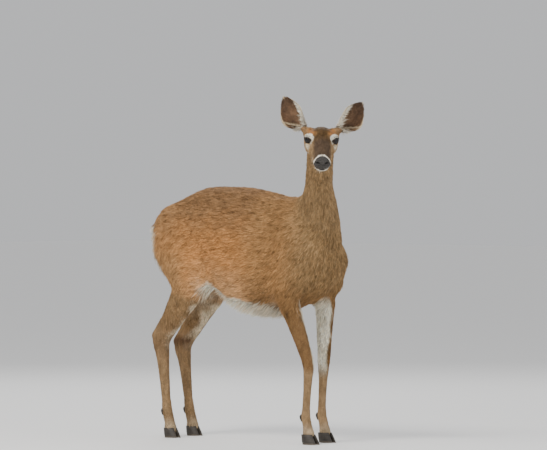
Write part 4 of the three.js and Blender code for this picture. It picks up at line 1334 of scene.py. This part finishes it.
earMask = 1 - notEar
openness = np.zeros(len(points))
for side in (1, -1):
    openness += earAxes[side][3] * ramp(-0.1, 0.3, normals @ openWay(side))
fromEye, eyeHole = np.full(len(points), np.inf), np.zeros(len(points))
for side in (1, -1):
    gaze, _, _ = eyeAxes(side)
    off = q - eyeMiddle(side)
    reach = np.linalg.norm(off, axis=1)
    fromEye = np.minimum(fromEye, reach)
    eyeHole = np.maximum(eyeHole, (off @ gaze > 0) * (reach < eyeRadius + 1.5))
muzzle = ramp(60, 130, q[:, 0])
faceMask = (part("head") + part("nose")) * notEar * (1 - padMask) * (1 - eyeHole)
faceMask *= 1 + 0.8 * muzzle
traits[:, 0] *= 1 - 0.55 * muzzle * notEar
traits[:, 1] *= 1 - 0.35 * muzzle * notEar
nearEye = np.clip(1 - (fromEye - 18) / 22, 0, 1) * notEar
traits[:, 0] *= 1 - 0.45 * nearEye
growCoat("coatFaceRight", faceMask * (q[:, 1] < 0))
growCoat("coatFaceLeft", faceMask * (q[:, 1] >= 0))
for side in (1, -1):
    out, across = earPlaces(points, side)
    rim = np.maximum(ramp(0.7, 0.9, np.abs(across)), ramp(0.86, 0.95, out)) * (1 - openness)
    traits[:, 0] *= 1 - 0.7 * rim * earAxes[side][3]
growCoat("coatEarBacks", earMask * (1 - openness))
growCoat("coatEarInsides", earMask * openness)

# long pale hair leaves the inner margin and the root of each ear across its opening
fringeMask, fringeWay = np.zeros(len(points)), flow.copy()
for side in (1, -1):
    out, across = earPlaces(points, side)
    mine = earAxes[side][3] * openness
    margin = ramp(-0.5, -0.75, across + 0.3 * out) * ramp(0.66, 0.4, out)
    root = ramp(0.13, 0.04, out)
    fringeMask += mine * np.maximum(margin, root)
    spray = 0.75 * earAxes[side][1] + 0.55 * earAcross[side] + 0.3 * openWay(side)
    fringeWay[earAxes[side][3]] = unit(spray)
growCoat(
    "coatEarFringe", fringeMask, toneOf=lambda tone: tone * 0.35 + tones["white"] * 0.55,
    wayOf=fringeWay,
)
legPart = (part("upperLeg") + part("lowerLeg") + part("foot")) * notEar
growCoat("coatLegs", legPart * (points[:, 0] > 0))
growCoat("coatHindLegs", legPart * (points[:, 0] <= 0))
growCoat("coatTail", part("tail") * notEar)

# a ragged hanging fringe along the belly, and loose hair on the backs of the thighs
low = np.interp(points[:, 0], binMiddle, lowLine)
hanging = ramp(0.05, 0.0, points[:, 2] - low) * ramp(0.3, -0.2, normals[:, 2]) * trunkPart
hanging *= ramp(0.22, 0.32, along) * (1 - ramp(0.66, 0.76, along))
hanging *= 1 - ramp(0.42, 0.36, along) * ramp(0.045, 0.07, np.abs(points[:, 1] - middle))
growCoat("coatFringe", hanging, toneOf=lambda tone: tone * 0.5 + tones["belly"] * 0.5)
behind = ramp(-0.3, -0.8, normals[:, 0]) * (1 - ramp(0.06, 0.2, along)) * ramp(0.8, 0.7, points[:, 2])
growCoat("coatSeat", behind * trunkPart, toneOf=lambda tone: tone * 0.6 + tones["belly"] * 0.35)
coronet = ramp(0.052, 0.044, points[:, 2]) * ramp(0.031, 0.034, points[:, 2]) * notEar
growCoat("coatCoronets", coronet)

# the stage: camera, floor, light and sky
view = {
    "turn": 43,  # degrees round from the animal's right side towards its front
    "lift": 1.5,
    "away": 18.0,
    "fromEyes": (-0.574, 0.245, -0.522),  # the point it turns about, from between the eyes
    "aim": (0.0652, 0.0610, 0.218),  # what it looks at, from that point
    "wide": 1.954,  # metres across the view at the aim
    "sensor": 36,  # mm
    "end": 60,  # metres, also the size of the floor
}
lights = {
    "keyLight": {"at": (0.6, -4.4, 5.2), "size": (2.2, 2.2), "power": 320, "colour": (1, 0.97, 0.92)},
    "fillLight": {"at": (4.6, 0.8, 2.4), "size": (3.0, 3.0), "power": 60, "colour": (0.95, 0.97, 1)},
    "frontLightRight": {
        "at": (0.87, -4.82, 2.52), "size": (0.7, 0.5), "power": 24, "colour": (1, 0.98, 0.95)
    },
    "frontLightLeft": {
        "at": (5.06, -1.12, 2.52), "size": (0.7, 0.5), "power": 24, "colour": (1, 0.98, 0.95)
    },
    "backLight": {"at": (-3.4, 3.2, 3.6), "size": (2.6, 2.6), "power": 90, "colour": (1, 1, 1)},
}
lightAim = Vector((0, 0, 0.7))
sky = {"colour": (0.97, 0.98, 1, 1), "level": 0.73, "rise": 0.27, "strength": 0.85}
turn, lift = math.radians(view["turn"]), math.radians(view["lift"])
back = Vector((math.sin(turn) * math.cos(lift), -math.cos(turn) * math.cos(lift), math.sin(lift)))
pivot = Vector(betweenEyes) + Vector(view["fromEyes"])
aim = pivot + Vector(view["aim"])
bpy.ops.object.camera_add(location=pivot + back * view["away"])
camera = bpy.context.object
camera.name = "camera"
camera.rotation_euler = (camera.location - aim).to_track_quat("Z", "Y").to_euler()
camera.data.sensor_width = view["sensor"]
camera.data.lens = view["sensor"] * view["away"] / view["wide"]
camera.data.clip_end = view["end"]
bpy.context.scene.camera = camera

bpy.ops.mesh.primitive_plane_add(size=view["end"], location=(0, 0, 0))
floor = bpy.context.object
floor.name = "floor"
floorLook, _, _ = newLook("paleFloor", Base_Color=(0.8, 0.795, 0.785, 1), Roughness=0.8)
floor.data.materials.append(floorLook)

for name, plan in lights.items():
    bpy.ops.object.light_add(type="AREA", location=plan["at"])
    lamp = bpy.context.object
    lamp.name = name
    lamp.visible_camera = False
    lamp.data.shape = "RECTANGLE"
    lamp.data.size, lamp.data.size_y = plan["size"]
    lamp.data.energy = plan["power"]
    lamp.data.color = plan["colour"]
    lamp.rotation_euler = (lamp.location - lightAim).to_track_quat("Z", "Y").to_euler()

# the sky meets the floor's own tone low down
world = bpy.data.worlds.new("studio")
bpy.context.scene.world = world
world.use_nodes = True
background = world.node_tree.nodes["Background"]
background.inputs["Color"].default_value = sky["colour"]
board = Wire(world.node_tree)
height = board.make("SeparateXYZ", {0: board.make("TexCoord", output="Generated")}, output="Z")
glow = (height.sum("MAXIMUM", height, 0.0) * sky["rise"] + sky["level"]) * sky["strength"]
world.node_tree.links.new(glow.socket, background.inputs["Strength"])
